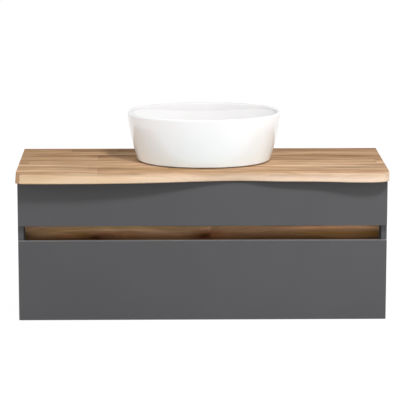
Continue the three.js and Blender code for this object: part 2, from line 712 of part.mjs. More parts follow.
function wallRosette() {
  const front = WALL - BASIN_Y - ROSETTE_DEPTH;
  const profile = [
    [TAIL_RADIUS + FIT, front],
    [TAIL_RADIUS + 4, front],
    [ROSETTE_RADIUS - 4, front + 0.55 * ROSETTE_DEPTH],
    [ROSETTE_RADIUS, WALL - BASIN_Y],
    [TAIL_RADIUS + FIT, WALL - BASIN_Y],
    [TAIL_RADIUS + FIT, front],
  ];
  return piece("wall_rosette", alongOutlet(turned(profile)), "chrome");
}

function trap() {
  const inletStep = DIP_FLANGE_TOP + SEAM;
  const inletTop = inletStep + NUT_WALL;
  const inletBottom = inletTop - INLET_NUT_HEIGHT;
  const inletNut = unionNut("trap_inlet_nut", NECK_RADIUS, inletBottom, inletStep, inletTop);
  const outletStep = SPIGOT_LENGTH + SEAM;
  const outletTop = outletStep + NUT_WALL;
  const outletBottom = outletTop - OUTLET_NUT_LENGTH;
  const outletNut = unionNut("trap_outlet_nut", SPIGOT_RADIUS, outletBottom, outletStep, outletTop);
  alongOutlet(outletNut.geometry);
  const pipe = ring(TAIL_BORE, TAIL_RADIUS, SPIGOT_LENGTH - PIPE_INSERT, WALL - BASIN_Y - SEAM);
  return group(
    trapBody(),
    trapCup(),
    dipTube(),
    inletNut,
    outletNut,
    piece("outlet_pipe", alongOutlet(pipe), "chrome"),
    wallRosette(),
  );
}

// ---------------------------------------------------------------- Hangers and wall plates

// The hanger is screwed into the corner of the cabinet. Its hook goes through the back rail's notch,
// over the wall plate's upstand and down behind it.
function hanger(side, sign) {
  const inner = HALF_INSIDE - SEAM;
  const housing = block(
    sorted(sign * inner, sign * (inner - HANGER_WIDTH)),
    [BACK_RAIL[0] - SEAM - HANGER_DEPTH, BACK_RAIL[0] - SEAM],
    [HANGER_TOP - HANGER_HEIGHT, HANGER_TOP],
  );
  const middleX = sign * (inner - HANGER_WIDTH / 2);
  const lipBack = WALL - PLATE_OFFSET + RUNNING + HOOK_LIP;
  const armBottom = HOOK_TOP - HOOK_ARM;
  const outline = [
    [BACK_RAIL[0] - HANGER_DEPTH / 2, armBottom],
    [lipBack - HOOK_LIP, armBottom],
    [lipBack - HOOK_LIP, armBottom - HOOK_LIP_DROP],
    [lipBack, armBottom - HOOK_LIP_DROP],
    [lipBack, HOOK_TOP],
    [BACK_RAIL[0] - HANGER_DEPTH / 2, HOOK_TOP],
  ];
  const hook = extrudedAlongX(outline, [middleX - HOOK_WIDTH / 2, middleX + HOOK_WIDTH / 2]);
  return piece("hanger_" + side, geometryOf(joined(housing, hook)), "zincSteel");
}

// A plate screwed flat to the wall, with an upstand that stands off it for the hook.
function wallPlate(side, sign) {
  const inner = HALF_INSIDE - SEAM;
  const upstandTop = HOOK_TOP - HOOK_ARM - SEAM;
  const upstandBottom = upstandTop - PLATE_UPSTAND;
  const face = WALL - PLATE_SHEET;
  const front = WALL - PLATE_OFFSET - PLATE_SHEET;
  const outline = [
    [WALL, upstandBottom - PLATE_HEIGHT / 2],
    [WALL, upstandBottom + PLATE_HEIGHT / 2],
    [face, upstandBottom + PLATE_HEIGHT / 2],
    [face, upstandBottom + PLATE_SHEET],
    [front + PLATE_SHEET, upstandBottom + PLATE_SHEET],
    [front + PLATE_SHEET, upstandTop],
    [front, upstandTop],
    [front, upstandBottom],
    [face, upstandBottom],
    [face, upstandBottom - PLATE_HEIGHT / 2],
  ];
  const x = sorted(sign * inner, sign * (inner - PLATE_WIDTH));
  return piece("wall_plate_" + side, extrudedAlongX(outline, x), "zincSteel");
}

// ---------------------------------------------------------------- Runners

// A runner member is a folded channel, drawn across the runner: depth counts from the cabinet side.
function channel(name, sign, height, web, lips, runnerMiddle) {
  const half = height / 2;
  const fold = Math.sign(lips - web) * RUNNER_SHEET;
  const outline = [
    [web, -half],
    [lips, -half],
    [lips, -half + RUNNER_SHEET],
    [web + fold, -half + RUNNER_SHEET],
    [web + fold, half - RUNNER_SHEET],
    [lips, half - RUNNER_SHEET],
    [lips, half],
    [web, half],
  ];
  const inner = HALF_INSIDE - SEAM;
  const points = outline.map(([depth, up]) => new THREE.Vector2(sign * (inner - depth), up));
  const shape = new THREE.Shape(points);
  const geometry = new THREE.ExtrudeGeometry(shape, { depth: RUNNER_LENGTH, bevelEnabled: false });
  geometry.rotateX(Math.PI / 2).translate(0, CARCASS_FRONT + RUNNER_SETBACK + RUNNER_LENGTH, runnerMiddle);
  return piece(name, geometry, "zincSteel");
}

// The outer member is screwed to the cabinet, the inner one to the drawer, and the middle one runs
// between them.
function runner(drawer, side, sign, runnerMiddle) {
  const step = RUNNER_SHEET + RUNNING;
  const name = (member) => drawer + "_runner_" + member + "_" + side;
  return [
    channel(name("outer"), sign, RUNNER_HEIGHT, 0, RUNNER_DEPTH - RUNNING, runnerMiddle),
    channel(name("middle"), sign, RUNNER_HEIGHT - 2 * step, step, RUNNER_DEPTH - RUNNING, runnerMiddle),
    channel(name("inner"), sign, RUNNER_HEIGHT - 4 * step, RUNNER_DEPTH, 2 * step, runnerMiddle),
  ];
}

function runners() {
  const pairs = SIDES.flatMap(([side, sign]) => [
    ...runner("lower", side, sign, LOWER_BOX[0] + LOWER_RUNNER_RISE),
    ...runner("upper", side, sign, middle(UPPER_BOX)),
  ]);
  return group(...pairs);
}

// ---------------------------------------------------------------- Drawers

function drawerFront(name, z) {
  const half = CABINET_WIDTH / 2 - FRONT_SIDE_REVEAL;
  return board(name, [-half, half], [0, FRONT_THICKNESS], z, "lacquer");
}

function drawerSides(drawer, z) {
  return SIDES.map(([side, sign]) => {
    const x = sorted(sign * HALF_BOX, sign * (HALF_BOX - BOX_SIDE));
    return board(drawer + "_box_side_" + side, x, [BOX_FRONT, BOX_BACK], z, "drawerBoard");
  });
}

const BOX_INSIDE = [-HALF_BOX + BOX_SIDE + SEAM, HALF_BOX - BOX_SIDE - SEAM];
const BOX_BACK_BOARD = [BOX_BACK - BOX_SIDE, BOX_BACK];

function lowerDrawer() {
  const bottom = [LOWER_BOX[0] + BOX_BOTTOM_INSET, LOWER_BOX[0] + BOX_BOTTOM_INSET + BOX_BOTTOM];
  const back = [bottom[1] + SEAM, LOWER_BOX[1]];
  return group(
    drawerFront("lower_front", LOWER_FRONT),
    ...drawerSides("lower", LOWER_BOX),
    board("lower_box_bottom", BOX_INSIDE, [BOX_FRONT, BOX_BACK], bottom, "drawerBoard"),
    board("lower_box_back", BOX_INSIDE, BOX_BACK_BOARD, back, "drawerBoard"),
  );
}

// The upper drawer's bottom is cut out round the trap, and the well's three walls stand on its edge.
function upperDrawer() {
  const bottom = [UPPER_BOX[0] + BOX_BOTTOM_INSET, UPPER_BOX[0] + BOX_BOTTOM_INSET + BOX_BOTTOM];
  const walls = [bottom[1] + SEAM, UPPER_BOX[1]];
  const wellX = [BASIN_X - WELL_WIDTH / 2, BASIN_X + WELL_WIDTH / 2];
  const wellFront = BASIN_Y - WELL_REACH;
  const wellY = [wellFront, BOX_BACK];
  const sheet = solidOf(block(BOX_INSIDE, [BOX_FRONT, BOX_BACK], bottom));
  const opening = block(wellX, [wellFront, BOX_BACK + 1], [bottom[0] - 1, bottom[1] + 1]);
  const leftWall = [wellX[0] - WELL_WALL, wellX[0]];
  const rightWall = [wellX[1], wellX[1] + WELL_WALL];
  const frontWall = [wellFront - SEAM - WELL_WALL, wellFront - SEAM];
  const leftBack = [BOX_INSIDE[0], leftWall[0] - SEAM];
  const rightBack = [rightWall[1] + SEAM, BOX_INSIDE[1]];
  return group(
    drawerFront("upper_front", UPPER_FRONT),
    ...drawerSides("upper", UPPER_BOX),
    piece("upper_box_bottom", geometryOf(cut(sheet, opening)), "drawerBoard"),
    board("upper_box_back_left", leftBack, BOX_BACK_BOARD, walls, "drawerBoard"),
    board("upper_box_back_right", rightBack, BOX_BACK_BOARD, walls, "drawerBoard"),
    board("well_wall_left", leftWall, wellY, walls, "drawerBoard"),
    board("well_wall_right", rightWall, wellY, walls, "drawerBoard"),
    board("well_wall_front", [leftWall[0], rightWall[1]], frontWall, walls, "drawerBoard"),
  );
}

// ---------------------------------------------------------------- The whole vanity

const plumbing = group(waste(), trap());
plumbing.position.set(BASIN_X, BASIN_Y, 0);

const vanity = group(
  cabinet(),
  worktop(),
  ...frontScrews.map(worktopScrew),
  ...backScrews.map(worktopScrew),
  basin(),
  basinBead(),
  plumbing,
  ...SIDES.map(([side, sign]) => hanger(side, sign)),
  ...SIDES.map(([side, sign]) => wallPlate(side, sign)),
  runners(),
  lowerDrawer(),
  upperDrawer(),
);
vanity.position.y = -(WALL - EDGE_REACH) / 2;

export default group(vanity);
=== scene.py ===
import json
import math

import bmesh
import bpy
from mathutils import Matrix, Vector, noise


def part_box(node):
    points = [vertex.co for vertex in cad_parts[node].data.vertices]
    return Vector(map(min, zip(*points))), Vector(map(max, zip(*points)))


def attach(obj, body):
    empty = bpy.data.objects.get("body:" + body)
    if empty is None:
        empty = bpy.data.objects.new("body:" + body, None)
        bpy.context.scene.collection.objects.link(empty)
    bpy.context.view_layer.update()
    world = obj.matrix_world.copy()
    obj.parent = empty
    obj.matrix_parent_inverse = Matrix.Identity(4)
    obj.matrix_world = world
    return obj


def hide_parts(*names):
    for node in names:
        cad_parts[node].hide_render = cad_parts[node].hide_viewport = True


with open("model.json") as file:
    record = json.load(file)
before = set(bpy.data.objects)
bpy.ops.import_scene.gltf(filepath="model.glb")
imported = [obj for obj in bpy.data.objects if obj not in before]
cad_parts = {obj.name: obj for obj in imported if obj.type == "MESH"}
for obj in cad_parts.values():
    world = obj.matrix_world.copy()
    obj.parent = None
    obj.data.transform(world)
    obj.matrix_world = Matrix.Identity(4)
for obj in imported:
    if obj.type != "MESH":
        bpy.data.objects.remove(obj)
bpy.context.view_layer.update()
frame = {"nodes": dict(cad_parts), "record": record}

NODES = frame["nodes"]
BODIES = {
    node: body
    for body, members in frame["record"]["behaviour"]["bodies"].items()
    for node in members
}
SLOTS = {part["node"]: part["material_slot"] for part in frame["record"]["subparts"]}


# ---------------------------------------------------------------- Node trees

NOISE_LOW, NOISE_HIGH = 0.3, 0.7  # most values of a noise lie between these


def colour(red, green, blue):
    """An sRGB colour of 0 to 255 as Blender's linear one."""
    channels = []
    for value in (red, green, blue):
        value /= 255
        channels.append(value / 12.92 if value <= 0.04045 else ((value + 0.055) / 1.055) ** 2.4)
    return (*channels, 1.0)


class Nodes:
    """A node tree, cleared, and short names for the nodes that go into it."""

    def __init__(self, tree):
        self.tree = tree
        self.tree.nodes.clear()

    def add(self, kind, **settings):
        node = self.tree.nodes.new(kind)
        for key, value in settings.items():
            setattr(node, key, value)
        return node

    def put(self, socket, value):
        if isinstance(value, bpy.types.NodeSocket):
            self.tree.links.new(value, socket)
        else:
            socket.default_value = value

    def fed(self, kind, *values, **settings):
        """The output of a new node, whose first sockets take the values in turn."""
        node = self.add(kind, **settings)
        for socket, value in zip(node.inputs, values):
            self.put(socket, value)
        return node.outputs[0]

    def maths(self, operation, *values):
        return self.fed("ShaderNodeMath", *values, operation=operation)

    def times(self, a, b):
        return self.maths("MULTIPLY", a, b)

    def plus(self, a, b):
        return self.maths("ADD", a, b)

    def less(self, value, share=1.0):
        """1 less a share of the value."""
        return self.plus(1.0, self.times(value, -share))

    def swing(self, value, reach):
        """A noise of 0 to 1 as a shift to both sides, over the reach in all."""
        return self.times(self.plus(value, -0.5), reach)

    def offset(self, value, place, unit):
        """How many units the value is past the place."""
        return self.times(self.plus(value, -place), 1 / unit)

    def squares(self, a, b):
        return self.plus(self.times(a, a), self.times(b, b))

    def fading(self, value, rate=1.0):
        """1 where the value is 0, and less and less where it grows."""
        return self.maths("EXPONENT", self.times(value, -rate))

    def waves(self, value, pitch):
        return self.maths("SINE", self.times(value, 2 * math.pi / pitch))

    def to_end(self, value):
        """How far a value of 0 to 1 is from the nearer end."""
        return self.maths("MINIMUM", value, self.less(value))

    def axes(self, vector):
        node = self.add("ShaderNodeSeparateXYZ")
        self.put(node.inputs[0], vector)
        return node.outputs

    def point(self, x, y, z):
        return self.fed("ShaderNodeCombineXYZ", x, y, z)

    def stretched(self, vector, factors, shift=(0, 0, 0)):
        return self.fed("ShaderNodeVectorMath", vector, factors, shift, operation="MULTIPLY_ADD")

    def noise(self, vector, scale, detail, roughness):
        node = self.add("ShaderNodeTexNoise")
        self.put(node.inputs["Vector"], vector)
        for key, value in (("Scale", scale), ("Detail", detail), ("Roughness", roughness)):
            node.inputs[key].default_value = value
        return node.outputs[0]

    def grain(self, vector, repeats, detail, roughness):
        """A noise with its own number of repeats in a metre along each axis."""
        return self.noise(self.stretched(vector, repeats), 1.0, detail, roughness)

    def chance(self, vector):
        """Three random numbers for each whole-numbered vector."""
        node = self.add("ShaderNodeTexWhiteNoise", noise_dimensions="3D")
        self.put(node.inputs["Vector"], vector)
        return self.axes(node.outputs["Color"])

    def cells(self, vector, scale, output="Distance"):
        node = self.add("ShaderNodeTexVoronoi", feature="F1")
        self.put(node.inputs["Vector"], vector)
        node.inputs["Scale"].default_value = scale
        return node.outputs[output]

    def between(self, value, low, high, to_low=0.0, to_high=1.0):
        """value from low to high, turned smoothly into to_low to to_high."""
        ends = (low, high, to_low, to_high)
        return self.fed("ShaderNodeMapRange", value, *ends, interpolation_type="SMOOTHSTEP")

    def varied(self, value, to_low=0.0, to_high=1.0):
        """A noise, turned smoothly into to_low to to_high."""
        return self.between(value, NOISE_LOW, NOISE_HIGH, to_low, to_high)

    def ramp(self, value, stops):
        node = self.add("ShaderNodeValToRGB")
        self.put(node.inputs[0], value)
        elements = node.color_ramp.elements
        while len(elements) < len(stops):
            elements.new(0.5)
        for element, (position, shade) in zip(elements, stops):
            element.position = position
            element.color = shade
        return node.outputs[0]

    def mix(self, share, a, b, blend="MIX"):
        node = self.add("ShaderNodeMix", data_type="RGBA", blend_type=blend)
        self.put(node.inputs[0], share)
        self.put(node.inputs[6], a)
        self.put(node.inputs[7], b)
        return node.outputs[2]

    def cast(self, tone, over, share=None):
        """tone, multiplied by a colour, or by a share of it."""
        product = self.mix(1.0, tone, over, "MULTIPLY")
        return product if share is None else self.mix(share, tone, product)

    def shade(self, tone, factor):
        """tone, made lighter or darker by a number."""
        node = self.add("ShaderNodeVectorMath", operation="SCALE")
        self.put(node.inputs[0], tone if isinstance(tone, bpy.types.NodeSocket) else tone[:3])
        self.put(node.inputs["Scale"], factor)
        return node.outputs[0]

    def bump(self, height, distance, strength, over=None):
        node = self.add("ShaderNodeBump")
        self.put(node.inputs["Height"], height)
        node.inputs["Distance"].default_value = distance
        node.inputs["Strength"].default_value = strength
        if over is not None:
            self.put(node.inputs["Normal"], over)
        return node.outputs[0]


class Material(Nodes):
    """A Principled material. Its fixed settings are named as its sockets, with _ for a space."""

    def __init__(self, name, **settings):
        self.made = bpy.data.materials.new(name)
        self.made.use_nodes = True
        super().__init__(self.made.node_tree)
        self.surface = self.add("ShaderNodeBsdfPrincipled")
        output = self.add("ShaderNodeOutputMaterial")
        self.put(output.inputs["Surface"], self.surface.outputs[0])
        self.place = self.add("ShaderNodeTexCoord").outputs["Object"]
        for socket, value in settings.items():
            self.surface.inputs[socket.replace("_", " ")].default_value = value

    def finished(self, tint, roughness, normal):
        self.put(self.surface.inputs["Base Color"], tint)
        self.put(self.surface.inputs["Roughness"], roughness)
        self.put(self.surface.inputs["Normal"], normal)
        return self.made


# ---------------------------------------------------------------- Oak

# The figure of the wood: repeats in a metre along and across the grain, detail, roughness.
SWAY = ((1.8, 11, 11), 3, 0.5)
WIDE = ((2.6, 34, 34), 3, 0.6)
BANDS = ((3.4, 62, 62), 2, 0.6)
STREAKS = ((4.5, 120, 120), 3, 0.6)
FINE = ((14, 420, 420), 4, 0.65)
PORES = ((55, 2600, 2600), 1, 0.5)
SAP_PATCHES = ((3.5, 9, 9), 3, 0.55)
SWAY_REACH = 0.05
RING_PITCH = 0.0062
PATCH_START = 0.003  # where a patch sets in sharply, at a butt joint
PATCH_FADE = 0.06  # where it fades along the grain
PATCH_SIDE = 0.006
GLUE_CORE = 0.0002
GLUE_SEAM = 0.0011
GLUE_BUTT = 0.0009
KNOT_HALO = colour(176, 122, 104)
KNOT_HEART = colour(58, 34, 20)


def near_spot(m, u, v, place, half):
    """1 at a place, falling off smoothly over its half length along u and half width along v."""
    return m.fading(m.squares(m.offset(u, place[0], half[0]), m.offset(v, place[1], half[1])))


def knots_in(m, tint, u, v, sway, wide, knots):
    """Dark knots with a wide reddish halo. Each has a place, a size and a depth."""
    for ku, kv, size, depth in knots:
        du = m.offset(m.plus(u, m.swing(sway, size * 0.9)), ku, size)
        dv = m.offset(m.plus(v, m.swing(wide, size * 0.5)), kv, size / 2.6)
        far = m.maths("SQRT", m.squares(du, dv))
        halo = m.between(far, 0.15, 1.0, depth, 0)
        heart = m.between(far, 0.05, 0.34, depth, 0)
        tint = m.cast(tint, KNOT_HALO, m.times(halo, 0.75))
        tint = m.mix(m.times(heart, 0.8), tint, KNOT_HEART)
    return tint


def growth_rings(m, u, v, rise, knots):
    """Rings that rise over each knot."""
    for ku, kv, size, _ in knots:
        du = m.offset(u, ku, size)
        dv = m.offset(v, kv, size * 0.42)
        far = m.maths("SQRT", m.squares(du, dv))
        rise = m.plus(rise, m.times(m.fading(far, 1.1), size * 0.5))
    return m.between(m.waves(rise, RING_PITCH), -0.9, 1.0)


def patches_in(m, tint, u, v, wide, patches):
    """Patches of darker or lighter tone: from X, to X, from v, to v, and how bright."""
    for left, right, near, far, factor in patches:
        blur = m.plus(v, m.swing(wide, (far - near) * 0.5))
        starts = m.between(u, left, left + PATCH_START)
        inside = m.times(starts, m.between(u, right - PATCH_FADE, right, 1, 0))
        inside = m.times(inside, m.between(blur, near, near + PATCH_SIDE))
        inside = m.times(inside, m.between(blur, far - PATCH_SIDE, far, 1, 0))
        tint = m.shade(tint, m.plus(1.0, m.times(inside, factor - 1.0)))
    return tint


def lines_in(m, tint, v, sway, streaks, lines):
    """Dark lines along the whole wood, the worktop's beside its joints and the recess board's a
    painted shadow: place, half width and depth.
    """
    for at, half, depth in lines:
        off = m.offset(m.plus(v, m.swing(sway, half)), at, half)
        near = m.times(m.fading(m.times(off, off)), m.between(streaks, 0.25, 0.6, 0.6, 1.2))
        tint = m.shade(tint, m.less(near, depth))
    return tint


def streaks_in(m, tint, u, v, sway, bands, streaks):
    """Long streaks, of the wood's own tone and of painted light and shade: place, half length and
    half width, and the tint over them.
    """
    broken = m.between(bands, 0.3, 0.6, 0.7, 1.15)
    for at, half, over in streaks:
        bent = m.plus(v, m.swing(sway, half[1] * 1.6))
        tint = m.cast(tint, (*over, 1.0), m.times(near_spot(m, u, bent, at, half), broken))
    return tint


def oak(name, across, tones, stave, start, length, seed, figure, painted_light, **marks):
    """Oak laid in staves along X, side by side along the axis across, which is 1 for Y or 2 for Z.

    painted_light is two places across the staves and the tint that the wood is painted at each, as
    painted light and shade. The marks are knots, patches, streaks and lines at named places, and
    the sapwood of a waney edge; some of the streaks and lines are painted light and shade too.
    """
    m = Material(name, Specular_IOR_Level=0.0)
    axes = m.axes(m.place)
    u, v, w = axes[0], axes[across], axes[3 - across]
    knots = marks.get("knots", ())

    # The staves: rows of one width, cut to lengths that start at random.
    row_place = m.offset(v, start, stave)
    row = m.maths("FLOOR", row_place)
    row_chance = m.chance(m.point(row, seed, 0.5))
    along = m.plus(m.times(u, 1 / length), m.times(row_chance[0], 9.0))
    own = m.chance(m.point(row, m.maths("FLOOR", along), seed + 3.5))

    # The grain has its own origin in each stave, so it breaks at the joints.
    shift = m.point(m.times(own[0], 17.0), m.times(own[1], 5.0), m.times(own[2], 5.0))
    place = m.stretched(m.point(u, v, w), (1, 1, 1), shift)
    sway = m.grain(place, *SWAY)
    flow = m.stretched(place, (1, 1, 1), m.point(0.0, m.times(sway, SWAY_REACH), 0.0))
    wide = m.grain(flow, *WIDE)
    bands = m.grain(flow, *BANDS)
    streaks = m.grain(flow, *STREAKS)
    fine = m.grain(flow, *FINE)
    pore = m.between(m.grain(flow, *PORES), 0.6, 0.72)
    rise = m.plus(m.times(sway, figure), m.axes(place)[1])
    rings = growth_rings(m, u, v, rise, knots)

    tint = m.ramp(m.plus(m.times(own[0], 0.55), m.varied(wide, 0.0, 0.5)), tones)
    tint = m.shade(tint, m.varied(bands, 0.76, 1.19))
    tint = m.shade(tint, m.varied(streaks, 0.87, 1.10))
    tint = m.shade(tint, m.between(wide, 0.35, 0.65, 0.93, 1.06))
    # Painted light and shade: the tint goes from one given tint to the other across the staves.
    low, high, at_low, at_high = painted_light
    painted_place = m.plus(v, m.swing(sway, (high - low) * 0.4))
    tint = m.cast(tint, m.mix(m.between(painted_place, low, high), at_low, at_high))
    tint = patches_in(m, tint, u, v, wide, marks.get("patches", ()))
    tint = lines_in(m, tint, v, sway, streaks, marks.get("lines", ()))
    tint = streaks_in(m, tint, u, v, sway, bands, marks.get("streaks", ()))
    tint = m.shade(tint, m.less(rings, 0.1))
    tint = m.shade(tint, m.varied(fine, 0.93, 1.06))
    tint = m.mix(m.times(pore, 0.3), tint, m.shade(tint, 0.45))

    # Glue lines between the rows, and butt joints at the ends of the staves.
    side_gap = m.times(m.to_end(m.maths("FRACT", row_place)), stave)
    end_gap = m.times(m.to_end(m.maths("FRACT", along)), length)
    seam = m.times(m.between(side_gap, GLUE_CORE, GLUE_SEAM, 1, 0), row_chance[1])
    butt = m.times(m.between(end_gap, GLUE_CORE, GLUE_BUTT, 1, 0), 0.6)
    joint = m.maths("MAXIMUM", seam, butt)
    tint = m.shade(tint, m.less(joint, 0.4))
    tint = knots_in(m, tint, u, v, sway, wide, knots)

    if "sapwood" in marks:
        # Sapwood shows along the waney edge: paler, and with hardly any figure.
        left, right = marks["sapwood"]
        patch = m.grain(m.place, *SAP_PATCHES)
        sap = m.mix(m.between(u, -0.5, 0.2), m.ramp(patch, left), m.ramp(patch, right))
        sap = m.shade(sap, m.varied(streaks, 0.97, 1.02))
        sap = m.shade(sap, m.varied(fine, 0.955, 1.035))
        sap = m.mix(m.times(pore, 0.16), sap, m.shade(sap, 0.6))
        for at, half, over in marks["edge_streaks"]:
            sap = m.cast(sap, (*over, 1.0), near_spot(m, u, v, at, half))
        edge = m.add("ShaderNodeAttribute", attribute_name="edge").outputs["Fac"]
        soft = m.plus(edge, m.swing(wide, 0.45))
        tint = m.mix(m.between(soft, 0.2, 0.85, 0, 0.88), tint, sap)
        tint = knots_in(m, tint, u, v, sway, wide, marks["edge_knots"])

    roughness = m.plus(m.varied(fine, 0.5, 0.62), m.times(pore, 0.15))
    relief = m.plus(m.times(fine, 0.5), m.plus(m.times(pore, -0.7), m.times(joint, -1.2)))
    return m.finished(tint, roughness, m.bump(relief, 0.00025, 0.5))


# ---------------------------------------------------------------- Other materials

END_STAVE = 0.043  # half of a stave shows as one piece in the end grain
END_RING_PITCH = 0.0031


def end_grain(name, tones):
    """Oak cut across: pale ground, close growth rings and open pores."""
    m = Material(name, Specular_IOR_Level=0.3)
    _, y, z = m.axes(m.place)
    stave = m.maths("FLOOR", m.times(y, 1 / END_STAVE))
    own = m.chance(m.point(stave, 2.0, 7.0))
    lean = m.swing(own[0], 1.6)
    sway = m.grain(m.place, (1, 40, 40), 2, 0.5)
    rise = m.plus(m.plus(z, m.times(y, lean)), m.times(sway, 0.012))
    rings = m.between(m.waves(rise, END_RING_PITCH), -0.6, 1.0)
    tint = m.shade(m.ramp(own[1], tones), m.less(rings, 0.2))
    pore = m.times(m.between(m.cells(m.place, 1500), 0.22, 0.38, 1, 0), rings)
    tint = m.mix(m.times(pore, 0.5), tint, colour(96, 66, 42))
    roughness = m.plus(0.62, m.times(pore, 0.2))
    return m.finished(tint, roughness, m.bump(m.times(pore, -1.0), 0.0002, 0.5))


def lacquer(name, tone, roughness=(0.46, 0.6)):
    """Matt grey foil or lacquer: an even tone with a fine orange peel and faint clouding."""
    m = Material(name, Specular_IOR_Level=0.18, Coat_Weight=0.0)
    cloud = m.noise(m.place, 3.5, 3, 0.55)
    grit = m.noise(m.place, 1400, 2, 0.6)
    peel = m.noise(m.place, 420, 2, 0.5)
    tint = m.shade(tone, m.varied(cloud, 0.972, 1.028))
    tint = m.shade(tint, m.varied(grit, 0.965, 1.035))
    normal = m.bump(peel, 0.00012, 0.35, over=m.bump(grit, 0.00004, 0.3))
    return m.finished(tint, m.varied(peel, *roughness), normal)


def melamine(name, tone, dark):
    """Board faced with a paper printed like fine linen."""
    m = Material(name, Specular_IOR_Level=0.4)
    across = m.grain(m.place, (260, 260, 2600), 2, 0.6)
    down = m.grain(m.place, (2600, 2600, 260), 2, 0.6)
    weave = m.maths("MAXIMUM", across, down)
    cloud = m.noise(m.place, 6, 3, 0.5)
    tint = m.mix(m.between(weave, 0.45, 0.75, 0.0, 0.55), tone, dark)
    tint = m.shade(tint, m.varied(cloud, 0.97, 1.03))
    return m.finished(tint, m.between(weave, 0.4, 0.7, 0.42, 0.56), m.bump(weave, 0.00008, 0.5))


def chipboard(name, tones):
    """A sawn board edge: pressed chips of pale wood."""
    m = Material(name, Specular_IOR_Level=0.25)
    chips = m.cells(m.stretched(m.place, (0.6, 1, 1)), 420, output="Color")
    dust = m.noise(m.place, 900, 3, 0.7)
    tint = m.shade(m.ramp(m.axes(chips)[0], tones), m.varied(dust, 0.86, 1.1))
    return m.finished(tint, m.varied(dust, 0.78, 0.92), m.bump(dust, 0.0003, 0.7))


def ceramic(name, low, high, cast):
    """White glaze: almost even and very smooth, and painted towards the cast near the foot,
    against the tint of the light that falls there.
    """
    m = Material(name, Specular_IOR_Level=0.5, IOR=1.52, Coat_Weight=0.5, Coat_Roughness=0.04)
    cloud = m.noise(m.place, 9, 3, 0.5)
    speck = m.cells(m.place, 260)
    height = m.axes(m.place)[2]
    tint = m.mix(m.varied(cloud), low, high)
    tint = m.cast(tint, cast, m.between(height, BASIN_FOOT, BASIN_FOOT + CAST_REACH, 1, 0))
    tint = m.mix(m.between(speck, 0.02, 0.05, 0.05, 0), tint, colour(214, 208, 200))
    roughness = m.varied(m.noise(m.place, 30, 3, 0.5), 0.1, 0.17)
    return m.finished(tint, roughness, m.bump(m.noise(m.place, 22, 2, 0.4), 0.0006, 0.08))


def clay_and_painted_shade(name):
    """The fired clay of the foot, where there is no glaze: sandy, matt and a little brown, and
    dark enough to be painted shade in the gap under the wall as well.
    """
    m = Material(name, Specular_IOR_Level=0.25)
    sand = m.noise(m.place, 1400, 3, 0.6)
    cloud = m.noise(m.place, 40, 3, 0.5)
    tint = m.mix(m.varied(cloud), colour(150, 134, 116), colour(172, 156, 138))
    tint = m.shade(tint, m.varied(sand, 0.9, 1.05))
    return m.finished(tint, m.varied(sand, 0.72, 0.88), m.bump(sand, 0.0002, 0.5))


def silicone(name):
    m = Material(name, Specular_IOR_Level=0.4)
    wave = m.noise(m.place, 60, 3, 0.5)
    tint = m.mix(m.varied(wave), colour(196, 186, 176), colour(212, 204, 196))
    return m.finished(tint, m.varied(wave, 0.35, 0.5), m.bump(wave, 0.0004, 0.4))


def rubber(name):
    m = Material(name, Specular_IOR_Level=0.35)
    grit = m.noise(m.place, 900, 3, 0.6)
    tint = m.mix(m.varied(grit), colour(34, 34, 36), colour(48, 48, 50))
    return m.finished(tint, m.varied(grit, 0.62, 0.82), m.bump(grit, 0.0001, 0.5))


def chrome(name):
    """Polished plate with a few soft water marks."""
    m = Material(name, Metallic=1.0)
    mark = m.noise(m.place, 45, 4, 0.6)
    fine = m.noise(m.place, 700, 2, 0.5)
    tint = m.mix(m.between(mark, 0.35, 0.7), colour(214, 216, 220), colour(228, 230, 232))
    roughness = m.plus(m.between(mark, 0.4, 0.75, 0.06, 0.15), m.times(fine, 0.02))
    return m.finished(tint, roughness, m.bump(fine, 0.00002, 0.3))


def zinc(name):
    """Rolled and zinc-plated sheet: bright, with a faint crystal and rolling marks along it."""
    m = Material(name, Metallic=1.0)
    crystal = m.axes(m.cells(m.place, 160, output="Color"))[0]
    rolled = m.grain(m.place, (700, 22, 700), 3, 0.6)
    tint = m.mix(crystal, colour(168, 172, 178), colour(196, 199, 204))
    tint = m.shade(tint, m.varied(rolled, 0.94, 1.04))
    roughness = m.plus(m.varied(rolled, 0.28, 0.4), m.times(crystal, 0.05))
    return m.finished(tint, roughness, m.bump(rolled, 0.00006, 0.4))


# ---------------------------------------------------------------- The list of materials

OAK_TONES = (
    (0.0, colour(178, 138, 103)),
    (0.3, colour(201, 162, 127)),
    (0.6, colour(214, 176, 140)),
    (0.82, colour(224, 187, 151)),
    (1.0, colour(234, 199, 165)),
)
STAVE = 0.085
STAVE_START = 0.028
STAVE_LENGTH = 1.15
# Painted light and shade: the worktop is lighter towards its front and darker towards its back, as
# the light falls off towards the wall.
OAK_PAINTED_SHADE = (-0.16, 0.24, (1.03, 1.03, 1.04, 1.0), (0.95, 0.94, 0.93, 1.0))
# Dark lines beside some joints.
OAK_LINES = (
    (STAVE_START + 2 * STAVE, 0.009, 0.07),
    (STAVE_START + STAVE, 0.011, 0.17),
    (STAVE_START, 0.009, 0.07),
    (STAVE_START - STAVE, 0.008, 0.06),
    (STAVE_START - 2 * STAVE, 0.009, 0.08),
)
# Patches, darker behind the basin's left half and at the front left.
OAK_PATCHES = (
    (-0.318, -0.10, STAVE_START + STAVE, STAVE_START + 2 * STAVE, 0.84),
    (-0.285, -0.10, STAVE_START + 2 * STAVE, 0.27, 0.84),
    (-0.374, -0.24, -0.150, -0.100, 0.88),
)
